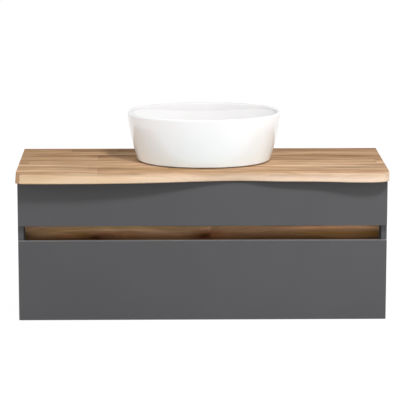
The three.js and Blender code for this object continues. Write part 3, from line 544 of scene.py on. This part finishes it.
# The streaks of the worktop, darker and lighter: partly its own wood, partly painted light and
# shade, darker at the back left and lighter at the front right.
OAK_STREAKS = (
    ((-0.45, 0.225), (0.30, 0.055), (0.76, 0.69, 0.62)),
    ((0.43, 0.200), (0.28, 0.050), (0.96, 0.93, 0.91)),
    ((-0.44, 0.040), (0.20, 0.050), (1.06, 1.05, 1.03)),
    ((-0.30, 0.115), (0.10, 0.012), (0.78, 0.75, 0.72)),
    ((-0.30, 0.165), (0.03, 0.020), (0.85, 0.83, 0.80)),
    ((-0.47, 0.162), (0.15, 0.015), (1.08, 1.05, 1.00)),
    ((-0.47, 0.074), (0.13, 0.013), (1.09, 1.10, 1.10)),
    ((-0.52, 0.016), (0.10, 0.009), (0.84, 0.82, 0.80)),
    ((-0.28, 0.090), (0.10, 0.022), (0.86, 0.83, 0.80)),
    ((-0.31, -0.030), (0.10, 0.022), (1.17, 1.19, 1.22)),
    ((-0.34, -0.140), (0.06, 0.012), (0.83, 0.80, 0.76)),
    ((-0.56, -0.140), (0.04, 0.011), (0.85, 0.83, 0.80)),
    ((0.44, 0.196), (0.09, 0.010), (0.83, 0.80, 0.77)),
    ((0.42, 0.158), (0.17, 0.016), (1.07, 1.05, 1.02)),
    ((0.51, 0.115), (0.06, 0.011), (0.76, 0.73, 0.70)),
    ((0.25, 0.068), (0.04, 0.018), (0.85, 0.82, 0.79)),
    ((0.40, -0.030), (0.22, 0.040), (1.09, 1.10, 1.11)),
    ((0.20, -0.120), (0.12, 0.022), (1.08, 1.09, 1.10)),
    ((0.42, -0.100), (0.24, 0.034), (1.36, 1.44, 1.55)),
    ((-0.44, -0.090), (0.18, 0.060), (1.06, 1.05, 1.03)),
    ((-0.49, 0.093), (0.16, 0.040), (0.84, 0.77, 0.70)),
    ((-0.45, 0.004), (0.17, 0.036), (1.14, 1.15, 1.14)),
    ((-0.46, -0.075), (0.17, 0.034), (1.10, 1.12, 1.15)),
    ((-0.55, -0.146), (0.09, 0.026), (1.16, 1.14, 1.08)),
    ((-0.29, -0.150), (0.09, 0.022), (0.80, 0.75, 0.66)),
    ((0.46, 0.093), (0.20, 0.038), (0.86, 0.81, 0.76)),
    ((0.30, 0.119), (0.10, 0.009), (0.82, 0.79, 0.76)),
    ((0.32, 0.012), (0.07, 0.034), (0.88, 0.86, 0.84)),
    ((0.40, -0.070), (0.26, 0.030), (1.05, 1.10, 1.15)),
    ((0.52, -0.146), (0.10, 0.026), (0.89, 0.93, 0.93)),
    ((-0.345, 0.098), (0.035, 0.032), (0.80, 0.76, 0.71)),
    ((-0.27, -0.115), (0.08, 0.014), (0.80, 0.78, 0.72)),
    ((-0.13, -0.164), (0.13, 0.034), (0.88, 0.86, 0.72)),
    ((0.16, -0.194), (0.11, 0.013), (1.24, 1.32, 1.29)),
    ((0.39, -0.115), (0.10, 0.014), (0.90, 0.90, 0.88)),
    ((0.50, -0.026), (0.13, 0.016), (1.20, 1.20, 1.20)),
    ((0.45, -0.073), (0.17, 0.012), (1.42, 1.42, 1.42)),
    ((0.36, -0.094), (0.12, 0.010), (0.84, 0.85, 0.85)),
    ((0.53, -0.116), (0.10, 0.012), (0.72, 0.72, 0.72)),
    ((0.40, 0.008), (0.20, 0.012), (0.87, 0.86, 0.85)),
)
# The sapwood's tones at the left and at the right.
SAPWOOD = (
    (
        (0.25, colour(228, 195, 156)),
        (0.5, colour(236, 207, 172)),
        (0.75, colour(241, 214, 183)),
    ),
    (
        (0.25, colour(224, 196, 167)),
        (0.5, colour(230, 206, 182)),
        (0.75, colour(235, 212, 193)),
    ),
)
EDGE_STREAKS = (
    ((0.03, -0.25), (0.10, 0.5), (0.92, 0.90, 0.87)),
    ((0.33, -0.25), (0.08, 0.5), (1.05, 1.03, 1.02)),
)
EDGE_KNOTS = (
    (0.232, -0.236, 0.020, 0.4),
    (0.15, -0.228, 0.016, 0.4),
)
# The recess board's oak: a darker copy of the worktop's oak, painted shade for the recess it sits
# in.
SHADED_TONES = (
    (0.0, colour(168, 128, 92)),
    (0.4, colour(186, 145, 105)),
    (0.75, colour(197, 157, 114)),
    (1.0, colour(206, 163, 124)),
)
SHADED_STAVE = 0.2  # wider than what the recess shows, so that no joint is seen
SHADED_START = 0.2
SHADED_LENGTH = 3.1
# Painted light and shade on the recess board: much darker at its lower end in the recess and
# lighter at its upper end.
RECESS_PAINTED_LIGHT = (0.256, 0.298, (0.50, 0.42, 0.36, 1.0), (1.56, 1.62, 1.80, 1.0))
# Streaks on the recess board: partly the wood's own ochre and red, partly painted light and shade,
# darker at both ends beside the side panels and lighter in a band near the top.
SHADED_STREAKS = (
    ((-0.45, 0.285), (0.18, 0.0300), (0.90, 0.89, 0.88)),
    ((0.28, 0.285), (0.30, 0.0300), (1.09, 1.07, 1.10)),
    ((-0.57, 0.298), (0.03, 0.0060), (1.12, 1.02, 1.08)),
    ((-0.58, 0.272), (0.03, 0.0100), (0.58, 0.55, 0.54)),
    ((0.565, 0.275), (0.04, 0.0090), (0.80, 0.78, 0.50)),
    ((-0.45, 0.270), (0.03, 0.0060), (1.08, 0.86, 0.84)),
    ((-0.40, 0.276), (0.03, 0.0080), (0.88, 0.84, 0.58)),
    ((-0.26, 0.274), (0.07, 0.0080), (1.00, 0.80, 0.76)),
    ((0.06, 0.276), (0.06, 0.0100), (1.02, 0.84, 0.80)),
    ((-0.20, 0.296), (0.20, 0.0035), (1.16, 1.22, 0.94)),
    ((-0.47, 0.286), (0.06, 0.0050), (1.14, 1.12, 0.86)),
    ((0.43, 0.2925), (0.17, 0.0050), (1.26, 1.06, 0.94)),
    ((0.12, 0.298), (0.06, 0.0030), (1.14, 1.16, 0.94)),
    ((0.42, 0.275), (0.17, 0.0070), (0.94, 0.84, 0.52)),
    ((-0.10, 0.268), (0.12, 0.0060), (0.96, 0.80, 0.74)),
    ((-0.50, 0.294), (0.04, 0.0050), (1.10, 1.10, 1.20)),
    ((-0.38, 0.296), (0.05, 0.0100), (0.86, 0.85, 0.85)),
    ((-0.25, 0.300), (0.08, 0.0060), (0.93, 0.93, 0.93)),
    ((-0.10, 0.295), (0.03, 0.0040), (1.12, 1.12, 1.08)),
    ((-0.10, 0.286), (0.05, 0.0060), (0.92, 0.92, 0.93)),
    ((-0.01, 0.300), (0.04, 0.0070), (0.86, 0.85, 0.86)),
    ((0.09, 0.291), (0.05, 0.0100), (1.16, 1.14, 1.13)),
    ((0.32, 0.290), (0.14, 0.0060), (1.10, 1.09, 1.08)),
)
# Painted shadow: the board is darker right under the upper drawer's front, where that front shades
# it.
RECESS_PAINTED_SHADOW = ((0.3050, 0.0045, 0.18),)
SHADED_KNOTS = (
    (-0.344, 0.262, 0.085, 0.78),
    (0.010, 0.268, 0.08, 0.88),
)
END_TONES = (
    (0.0, colour(168, 128, 92)),
    (0.5, colour(190, 150, 112)),
    (1.0, colour(206, 168, 129)),
)
CHIP_TONES = (
    (0.0, colour(150, 118, 84)),
    (0.5, colour(192, 160, 118)),
    (1.0, colour(216, 190, 150)),
)
BASIN_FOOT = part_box("basin")[0].z
CAST_REACH = 0.16
# The glaze is painted a little cooler towards the basin's foot, against the warm light that the
# oak throws up on it; in the bowl it turns only faintly warmer.
GLAZE_PAINTED_COOL = (0.918, 0.985, 1.0, 1.0)
BOWL_CAST = (1.0, 0.99, 0.985, 1.0)

MATERIALS = {
    "grey_lacquer": lacquer("grey_lacquer", colour(94, 94, 96)),
    "oak": oak(
        "oak", 1, OAK_TONES, STAVE, STAVE_START, STAVE_LENGTH,
        seed=4.0, figure=0.07, painted_light=OAK_PAINTED_SHADE,
        patches=OAK_PATCHES, lines=OAK_LINES, streaks=OAK_STREAKS,
        sapwood=SAPWOOD, edge_streaks=EDGE_STREAKS, edge_knots=EDGE_KNOTS,
    ),
    "shaded_oak": oak(
        "shaded_oak", 2, SHADED_TONES, SHADED_STAVE, SHADED_START, SHADED_LENGTH,
        seed=5.0, figure=0.11, painted_light=RECESS_PAINTED_LIGHT,
        lines=RECESS_PAINTED_SHADOW, streaks=SHADED_STREAKS, knots=SHADED_KNOTS,
    ),
    "drawer_board": melamine("drawer_board", colour(190, 188, 184), colour(160, 158, 154)),
    "ceramic": ceramic("ceramic", colour(250, 251, 252), colour(253, 253, 254), GLAZE_PAINTED_COOL),
    "silicone": silicone("silicone"),
    "rubber": rubber("rubber"),
    "chrome": chrome("chrome"),
    "zinc_steel": zinc("zinc_steel"),
}
# The top faces of the drawer fronts are a lighter, glossier grey than the fronts: a painted
# highlight where the light catches them.
TOP_EDGE_PAINTED_HIGHLIGHT = lacquer("grey_top_edge_painted_highlight", colour(142, 142, 143), roughness=(0.3, 0.38))
OAK_END = end_grain("oak_end_grain", END_TONES)
SAWN = chipboard("sawn_board_edge", CHIP_TONES)
CLAY_AND_PAINTED_SHADE = clay_and_painted_shade("clay_and_painted_shade")
# Inside the bowl the glaze is painted a little darker than outside: painted shade in the hollow of
# the bowl.
BOWL_PAINTED_SHADE = ceramic("bowl_glaze_painted_shade", colour(243, 242, 242), colour(246, 245, 245), BOWL_CAST)


# ---------------------------------------------------------------- Making pieces

WELD = 1e-6
FLAT = math.radians(0.5)


def placed(name, data):
    """A new object in the scene."""
    made = bpy.data.objects.new(name, data)
    bpy.context.scene.collection.objects.link(made)
    return made


def mesh_from(work, name):
    mesh = bpy.data.meshes.new(name)
    work.to_mesh(mesh)
    work.free()
    return mesh


def shown(mesh, node, materials):
    """An object for a mesh, standing for a CAD node and riding with it."""
    made = placed(mesh.name, mesh)
    for material in materials:
        mesh.materials.append(material)
    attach(made, BODIES[node])
    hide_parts(node)
    return made


def smoothed(made, bevel, segments=2, angle=30):
    """Rounds the arrises and keeps the flat faces flat."""
    made.data.shade_smooth()
    made.data.set_sharp_from_angle(angle=math.radians(angle))
    if bevel:
        rounding = made.modifiers.new("arrises", "BEVEL")
        rounding.width = bevel
        rounding.segments = segments
        rounding.limit_method = "ANGLE"
        rounding.angle_limit = math.radians(angle)
        rounding.harden_normals = True
        rounding.use_clamp_overlap = True
    return made


def clean_copy(node):
    """The CAD node's faces, welded, with flat areas as single faces."""
    work = bmesh.new()
    work.from_mesh(NODES[node].data)
    bmesh.ops.remove_doubles(work, verts=work.verts, dist=WELD)
    bmesh.ops.dissolve_limit(work, angle_limit=FLAT, verts=work.verts, edges=work.edges)
    return work


def refined(node, bevel, segments=2, angle=30, second=None, picks=None):
    """A CAD node again with rounded arrises. Faces that picks chooses get the second material."""
    work = clean_copy(node)
    materials = [MATERIALS[SLOTS[node]]]
    if second:
        materials.append(second)
        for face in work.faces:
            face.material_index = int(picks(face))
    mesh = mesh_from(work, node + "_shape")
    return smoothed(shown(mesh, node, materials), bevel, segments, angle)


def lofted(work, loops, cap=False):
    """Faces between closed outlines of equally many points. Returns the rings of vertices."""
    rings = [[work.verts.new(point) for point in loop] for loop in loops]
    for lower, upper in zip(rings, rings[1:]):
        for i in range(len(lower)):
            j = (i + 1) % len(lower)
            work.faces.new((lower[i], lower[j], upper[j], upper[i]))
    if cap:
        work.faces.new(tuple(reversed(rings[0])))
        work.faces.new(tuple(rings[-1]))
    return rings


def spline(points, steps):
    """A smooth curve through points, with steps between each two."""
    ends = [2 * points[0] - points[1], *points, 2 * points[-1] - points[-2]]
    curve = []
    for a, b, c, d in zip(ends, ends[1:], ends[2:], ends[3:]):
        square = 2 * a - 5 * b + 4 * c - d
        cube = 3 * b - a - 3 * c + d
        for i in range(steps):
            t = i / steps
            curve.append(0.5 * (2 * b + (c - a) * t + square * t * t + cube * t * t * t))
    curve.append(points[-1].copy())
    return curve


# ---------------------------------------------------------------- Cabinet and drawers

FRONT_ROUNDING = 0.0011
BOARD_ROUNDING = 0.0005
METAL_ROUNDING = 0.0003
BEAD_ROUNDING = 0.0004
RECESS_GAP = 0.003  # the shadow gap at each end of the recess board
RUNNERS_AND_HANGERS = ("upper_runner", "lower_runner", "hanger", "wall_plate")
DRAWER_BOARDS = ("upper_box", "lower_box", "well_wall")
PLUMBING = ("trap", "waste", "plug", "outlet", "wall_rosette", "worktop_screw")


def top_face(face):
    return face.normal.z > 0.9


def sawn_back(face):
    return face.normal.y > 0.9


# Their top faces take the lighter grey, a painted highlight.
for node in ("upper_front", "lower_front"):
    refined(node, FRONT_ROUNDING, 3, second=TOP_EDGE_PAINTED_HIGHLIGHT, picks=top_face)
for node in ("side_panel_left", "side_panel_right", "bottom_panel"):
    refined(node, BOARD_ROUNDING, second=SAWN, picks=sawn_back)
for node in ("top_rail_front", "top_rail_back", "back_rail_lower", "back_rail_upper"):
    refined(node, BOARD_ROUNDING)
for end in refined("recess_board", BOARD_ROUNDING).data.vertices:
    end.co.x -= math.copysign(RECESS_GAP, end.co.x)
for node in NODES:
    if node.startswith(DRAWER_BOARDS):
        refined(node, BOARD_ROUNDING)
for node in NODES:
    if node.startswith(RUNNERS_AND_HANGERS):
        refined(node, METAL_ROUNDING)
for node in NODES:
    if node.startswith(PLUMBING):
        refined(node, METAL_ROUNDING, angle=35)


# ---------------------------------------------------------------- Worktop

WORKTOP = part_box("worktop")
TOP, UNDERSIDE = WORKTOP[1].z, WORKTOP[0].z
WALL = WORKTOP[1].y
THICK = TOP - UNDERSIDE
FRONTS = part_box("upper_front")[0].y  # the faces of the drawer fronts
ARRIS_HEIGHT = 0.1 * THICK  # of the lower arris above the underside
TOP_OVERHANG = 0.0045  # of the top before the fronts, at the least
TOP_SHARE = 0.34  # how much of the lower arris's own overhang the top follows
ROLL = 0.009  # of the top over its front edge
DENT = 0.0011
DENTS_ALONG, DENTS_DOWN, DENT_SLICE = 26, 30, 1.7
RIPPLE = 0.0003
RIPPLES_ALONG, RIPPLES_DOWN, RIPPLE_SLICE = 120, 60, 8.2
ARRIS_IN, ARRIS_UP = 0.0006, 0.0012  # the middle of the rounding under the lower arris
UNDER_START = 0.002
UNDER_WIDTH = 0.012  # of the part of the underside that is still pale
FACE_STEPS = 5
STATION_STEPS = 6
CORNER_STEPS = 4


def edge_stations():
    """The waney edge's lower arris, read off the CAD worktop and smoothed, and the sawn corner."""
    arris = UNDERSIDE + ARRIS_HEIGHT
    found = {
        round(v.co.x, 5): v.co.y
        for v in NODES["worktop"].data.vertices
        if abs(v.co.z - arris) < 2e-5 and v.co.y < FRONTS + 0.001
    }
    points = [Vector((x, found[x])) for x in sorted(found)]
    corner = [points[0].lerp(points[1], i / CORNER_STEPS) for i in range(CORNER_STEPS)]
    stations = [(p.x, p.y, p.y - points[1].y) for p in corner]
    return stations + [(p.x, p.y, 0) for p in spline(points[1:], STATION_STEPS)]


def worn(x, z, down):
    """How far dents and ripples go into the waney face, most in the middle of its height."""
    dent = 0.5 + 0.5 * noise.noise(Vector((x * DENTS_ALONG, z * DENTS_DOWN, DENT_SLICE)))
    ripple = 0.5 + 0.5 * noise.noise(Vector((x * RIPPLES_ALONG, z * RIPPLES_DOWN, RIPPLE_SLICE)))
    return math.sin(math.pi * down) * (DENT * dent + RIPPLE * ripple)


def worktop_section(x, arris_y, sawn):
    """The worktop's outline at one station, and how far each point lies down the waney face.

    sawn is how far the corner is cut back there.
    """
    lower = FRONTS - arris_y
    upper = TOP_OVERHANG + TOP_SHARE * (lower + sawn) - sawn
    corners = [
        (-upper + 2.2 * ROLL, TOP),
        (-upper + ROLL, TOP),
        (-upper + 0.3 * ROLL, TOP - 0.12 * ROLL),
        (-upper - 0.1 * (lower - upper), TOP - 0.5 * ROLL),
        (-upper - 0.62 * (lower - upper), UNDERSIDE + 0.42 * THICK),
        (-lower, UNDERSIDE + ARRIS_HEIGHT),
    ]
    face = spline([Vector(corner) for corner in corners], FACE_STEPS)
    outline = []
    for i, (y, z) in enumerate(face):
        down = i / (len(face) - 1)
        y = FRONTS + (max(y, -lower) + worn(x, z, down))
        outline.append((Vector((x, y, min(z, TOP))), max(0.0, down * 1.5 - 0.42)))
    start = FRONTS - lower
    under = start + UNDER_START
    for y, z, share in (
        (start + ARRIS_IN, UNDERSIDE + ARRIS_UP, 0.9),
        (under, UNDERSIDE, 0.5),
        (under + UNDER_WIDTH, UNDERSIDE, 0.0),
        (WALL, UNDERSIDE, 0.0),
        (WALL, TOP, 0.0),
    ):
        outline.append((Vector((x, y, z)), share))
    return outline


def end_face(face):
    """The sawn ends, and the corner that is cut off at the left."""
    return abs(face.normal.x) > 0.95 or face.normal.x < -0.45


def make_worktop():
    work = bmesh.new()
    edge = work.verts.layers.float.new("edge")
    sections = [worktop_section(*station) for station in edge_stations()]
    rings = lofted(work, [[point for point, _ in section] for section in sections], cap=True)
    for ring, section in zip(rings, sections):
        for vertex, (_, share) in zip(ring, section):
            vertex[edge] = min(1.0, share)
    bmesh.ops.recalc_face_normals(work, faces=work.faces)
    for face in work.faces:
        face.material_index = int(end_face(face))
    mesh = mesh_from(work, "worktop_shape")
    return smoothed(shown(mesh, "worktop", [MATERIALS["oak"], OAK_END]), 0)


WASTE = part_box("waste_body")
DRAIN = (WASTE[0] + WASTE[1]) / 2
DRAIN.z = UNDERSIDE + THICK / 2
DRAIN_HOLE_RADIUS = 0.025
DRAIN_HOLE_SEGMENTS = 64


def drill(made, centre, radius, depth):
    """Cuts a round hole straight down through a piece."""
    work = bmesh.new()
    bmesh.ops.create_cone(
        work, cap_ends=True, segments=DRAIN_HOLE_SEGMENTS, radius1=radius, radius2=radius,
        depth=depth, matrix=Matrix.Translation(centre),
    )
    mesh = mesh_from(work, "drill")
    tool = placed("drill", mesh)
    hole = made.modifiers.new("hole", "BOOLEAN")
    hole.operation = "DIFFERENCE"
    hole.object = tool
    hole.solver = "EXACT"
    graph = bpy.context.evaluated_depsgraph_get()
    cut = bpy.data.meshes.new_from_object(made.evaluated_get(graph))
    old = made.data
    made.modifiers.clear()
    made.data = cut
    bpy.data.meshes.remove(old)
    bpy.data.objects.remove(tool)
    bpy.data.meshes.remove(mesh)


drill(make_worktop(), DRAIN, DRAIN_HOLE_RADIUS, 3 * THICK)


# ---------------------------------------------------------------- Basin

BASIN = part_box("basin")
BASIN_CENTRE = Vector(((BASIN[0].x + BASIN[1].x) / 2, (BASIN[0].y + BASIN[1].y) / 2, BASIN_FOOT))
RIM_HALF = Vector(((BASIN[1].x - BASIN[0].x) / 2, (BASIN[1].y - BASIN[0].y) / 2))
BASIN_HEIGHT = BASIN[1].z - BASIN_FOOT
BASE_HALF = RIM_HALF - Vector((0.033, 0.011))
SQUARENESS = 2.12  # of the oval: 2 is an ellipse
ROUND = 2
TAPER_POWER = 1.55
FOOT_RADIUS = 0.0012
FOOT_RISE = 0.0026  # of the wall's lower edge above the foot ring
FOOT_STEP = 0.010  # of the foot ring inside the wall
BASIN_WALL = 0.011
LIP = BASIN_WALL / 2  # the radius of the rim's rounding
BOWL_BAND = 0.030  # the depth of the crease below the rim, at the ends
LOWEST_BAND = 0.26  # the share of that depth at the front and back
BOWL_CREASE = math.radians(50)
BAND_LEAN = 0.0018
BOWL_SWEEP = 0.085
BOWL_FLOOR = 0.020
BOWL_FALL = 0.004
SEAT_RADIUS = 0.033  # of the flat that the waste's flange lies on
BASIN_HOLE = 0.023
HOLE_CHAMFER = 0.0015
SEGMENTS = 160
FOOT_STEPS = 6
WALL_STEPS = 22
RIM_STEPS = 6
BAND_STEPS = 4
BOWL_STEPS = 26
FALL_STEPS = 4


def oval_point(i, half_x, half_y, height, squareness=SQUARENESS):
    angle = 2 * math.pi * i / SEGMENTS
    c, s = math.cos(angle), math.sin(angle)
    x = half_x * math.copysign(abs(c) ** (2 / squareness), c)
    y = half_y * math.copysign(abs(s) ** (2 / squareness), s)
    return BASIN_CENTRE + Vector((x, y, height))


def ring(radius, height):
    return [oval_point(i, radius, radius, height, ROUND) for i in range(SEGMENTS)]


def wall_oval(heights, inset):
    """The outer wall's outline, drawn in by an inset, with a height for each of its points."""
    outline = []
    for i, height in enumerate(heights):
        swell = 1 - max(0.0, 1 - height / BASIN_HEIGHT) ** TAPER_POWER
        half = BASE_HALF + (RIM_HALF - BASE_HALF) * swell
        outline.append(oval_point(i, half.x - inset, half.y - inset, height))
    return outline


def level_oval(height, inset):
    return wall_oval([height] * SEGMENTS, inset)


def quarter(steps, start=0.0):
    """Angles from a start to a right angle."""
    return [start + i / steps * (math.pi / 2 - start) for i in range(steps + 1)]


def band_heights():
    """The crease dips at the basin's front and back and climbs towards its ends."""
    heights = []
    for i in range(SEGMENTS):
        across = abs(math.sin(2 * math.pi * i / SEGMENTS))
        heights.append(BOWL_BAND * (LOWEST_BAND + (1 - LOWEST_BAND) * across**3))
    return heights


def wall_loops():
    """The foot ring and the outer wall, up to where the rim starts to round."""
    loops = [level_oval(0, FOOT_STEP), level_oval(FOOT_RISE, FOOT_STEP)]
    for angle in quarter(FOOT_STEPS):
        height = FOOT_RISE + FOOT_RADIUS * (1 - math.cos(angle))
        loops.append(level_oval(height, FOOT_RADIUS * (1 - math.sin(angle))))
    start = FOOT_RISE + FOOT_RADIUS
    for i in range(1, WALL_STEPS):
        loops.append(level_oval(start + i / WALL_STEPS * (BASIN_HEIGHT - LIP - start), 0))
    return loops


def rim_loops():
    """Half a round over the rim, with its top in the middle."""
    loops = []
    for i in range(2 * RIM_STEPS + 1):
        angle = math.pi * i / (2 * RIM_STEPS)
        height = BASIN_HEIGHT - LIP + LIP * math.sin(angle)
        loops.append(level_oval(height, LIP * (1 - math.cos(angle))))
    return loops


def bowl_loops():
    """The inner wall down to its crease, and the sweep from there to the floor."""
    bands = band_heights()
    loops = []
    for i in range(1, BAND_STEPS + 1):
        share = i / BAND_STEPS
        heights = [BASIN_HEIGHT - LIP - share * (band - LIP) for band in bands]
        loops.append(wall_oval(heights, BASIN_WALL - BAND_LEAN * share))
    sweep = BOWL_SWEEP / math.cos(BOWL_CREASE)
    lowest = BOWL_FLOOR + BOWL_FALL
    for angle in quarter(BOWL_STEPS, BOWL_CREASE):
        inset = BASIN_WALL + sweep * (math.cos(BOWL_CREASE) - math.cos(angle))
        fallen = (math.sin(angle) - math.sin(BOWL_CREASE)) / (1 - math.sin(BOWL_CREASE))
        heights = [BASIN_HEIGHT - band - (BASIN_HEIGHT - band - lowest) * fallen for band in bands]
        loops.append(wall_oval(heights, inset))
    return loops


def drain_loops(sweep_end):
    """The floor, which falls smoothly to the waste's seat, and the hole."""
    seat = ring(SEAT_RADIUS, BOWL_FLOOR)
    loops = []
    for i in range(1, FALL_STEPS):
        share = i / FALL_STEPS
        ease = share * share * (3 - 2 * share)
        loop = []
        for a, b in zip(sweep_end, seat):
            point = a.lerp(b, share)
            point.z = a.z + (b.z - a.z) * ease
            loop.append(point)
        loops.append(loop)
    loops.append(seat)
    loops.append(ring(BASIN_HOLE + HOLE_CHAMFER, BOWL_FLOOR))
    loops.append(ring(BASIN_HOLE, BOWL_FLOOR - HOLE_CHAMFER))
    loops.append(ring(BASIN_HOLE, 0))
    return loops


def make_basin():
    wall = wall_loops()
    bowl = bowl_loops()
    rim_top = len(wall) + RIM_STEPS
    work = bmesh.new()
    rings = lofted(work, wall + rim_loops() + bowl + drain_loops(bowl[-1]))
    work.faces.ensure_lookup_table()
    # Painted shade: the bowl's faces take the darker bowl glaze, and the foot ring the darker
    # clay.
    for face in work.faces[rim_top * SEGMENTS :]:
        face.material_index = 1
    for face in work.faces[: 2 * SEGMENTS]:
        face.material_index = 2
    hole, foot = rings[-1], rings[0]
    for i in range(SEGMENTS):
        j = (i + 1) % SEGMENTS
        work.faces.new((hole[i], hole[j], foot[j], foot[i])).material_index = 2
    bmesh.ops.recalc_face_normals(work, faces=work.faces)
    made = shown(mesh_from(work, "basin_shape"), "basin", [MATERIALS["ceramic"], BOWL_PAINTED_SHADE, CLAY_AND_PAINTED_SHADE])
    return smoothed(made, 0, angle=20)


make_basin()
refined("basin_bead", BEAD_ROUNDING)


# ---------------------------------------------------------------- Stage, light and camera

WHITE = (1, 1, 1, 1)
HORIZON = 0.875  # the world's light at the horizon, and overhead
ZENITH = 0.353
RISE = (-0.1, 0.9)  # from where to where it goes from the one to the other
FLOOR_REACH = 40.0
FLOOR_DROP = 0.0005
FLOOR_TONE = (0.5, 0.5, 0.5, 1)  # as the light that falls on the object meets it
SEEN_TONE = (0.26, 0.26, 0.26, 1)  # as the camera sees it, with the glow that makes it white
SEEN_GLOW = 0.89
AIM = Vector((0, 0, 0.35))
TO_KEY = Vector((0.36, -1.0, 1.1)).normalized()
KEY_DISTANCE = 2.6
KEY_SIZE = (0.44, 0.44)
KEY_POWER = 31.5
SIDE_SIZE = (1.4, 1.0)
LEFT_PLACE = Vector((-2.5, -0.5, 0.8))
LEFT_POWER = 11.9
RIGHT_PLACE = Vector((2.5, -0.9, 0.8))
RIGHT_POWER = 13.4
CAMERA_LENS = 198
CAMERA_SENSOR = 36
CAMERA_PLACE = (-0.1242, -7.1911, 1.7134)
CAMERA_DOWN = 0.1857
CAMERA_RIGHT = 0.0165


def seen(m):
    """1 for the camera and for what metal and glass show.

    It is 0 for the light that falls on the object.
    """
    path = m.add("ShaderNodeLightPath").outputs
    share = m.maths("MAXIMUM", path["Is Camera Ray"], path["Is Glossy Ray"])
    return m.maths("MAXIMUM", share, path["Is Transmission Ray"])


def make_world():
    world = bpy.data.worlds.new("studio")
    bpy.context.scene.world = world
    world.use_nodes = True
    m = Nodes(world.node_tree)
    height = m.axes(m.add("ShaderNodeTexCoord").outputs["Generated"])[2]
    light = m.between(height, *RISE, HORIZON, ZENITH)
    ambient = m.fed("ShaderNodeBackground", WHITE, light)
    white = m.fed("ShaderNodeBackground", WHITE, 1.0)
    mixed = m.fed("ShaderNodeMixShader", seen(m), ambient, white)
    m.put(m.add("ShaderNodeOutputWorld").inputs["Surface"], mixed)


def make_floor():
    material = bpy.data.materials.new("pale_floor")
    material.use_nodes = True
    m = Nodes(material.node_tree)
    plain = m.fed("ShaderNodeBsdfDiffuse", FLOOR_TONE)
    pale = m.fed("ShaderNodeBsdfDiffuse", SEEN_TONE)
    glow = m.fed("ShaderNodeEmission", WHITE, SEEN_GLOW)
    both = m.fed("ShaderNodeAddShader", pale, glow)
    mixed = m.fed("ShaderNodeMixShader", seen(m), plain, both)
    m.put(m.add("ShaderNodeOutputMaterial").inputs["Surface"], mixed)
    mesh = bpy.data.meshes.new("floor")
    sides = ((-1, -1), (1, -1), (1, 1), (-1, 1))
    corners = [(x * FLOOR_REACH, y * FLOOR_REACH, 0) for x, y in sides]
    mesh.from_pydata(corners, [], [(0, 1, 2, 3)])
    mesh.materials.append(material)
    floor = placed("floor", mesh)
    floor.location.z = -FLOOR_DROP


def make_lamp(name, shape, size, power, place):
    data = bpy.data.lights.new(name, "AREA")
    data.shape = shape
    data.size, data.size_y = size
    data.energy = power
    lamp = placed(name, data)
    lamp.location = place
    lamp.rotation_euler = (place - AIM).to_track_quat("Z", "Y").to_euler()
    lamp.visible_camera = False
    lamp.visible_glossy = False


def make_camera():
    data = bpy.data.cameras.new("camera")
    data.lens = CAMERA_LENS
    data.sensor_width = CAMERA_SENSOR
    camera = placed("camera", data)
    camera.location = CAMERA_PLACE
    camera.rotation_euler = (math.pi / 2 - CAMERA_DOWN, 0, -CAMERA_RIGHT)
    bpy.context.scene.camera = camera


make_world()
make_floor()
make_lamp("key", "ELLIPSE", KEY_SIZE, KEY_POWER, AIM + TO_KEY * KEY_DISTANCE)
make_lamp("left", "RECTANGLE", SIDE_SIZE, LEFT_POWER, LEFT_PLACE)
make_lamp("right", "RECTANGLE", SIDE_SIZE, RIGHT_POWER, RIGHT_PLACE)
make_camera()
bpy.context.scene.view_settings.view_transform = "Standard"
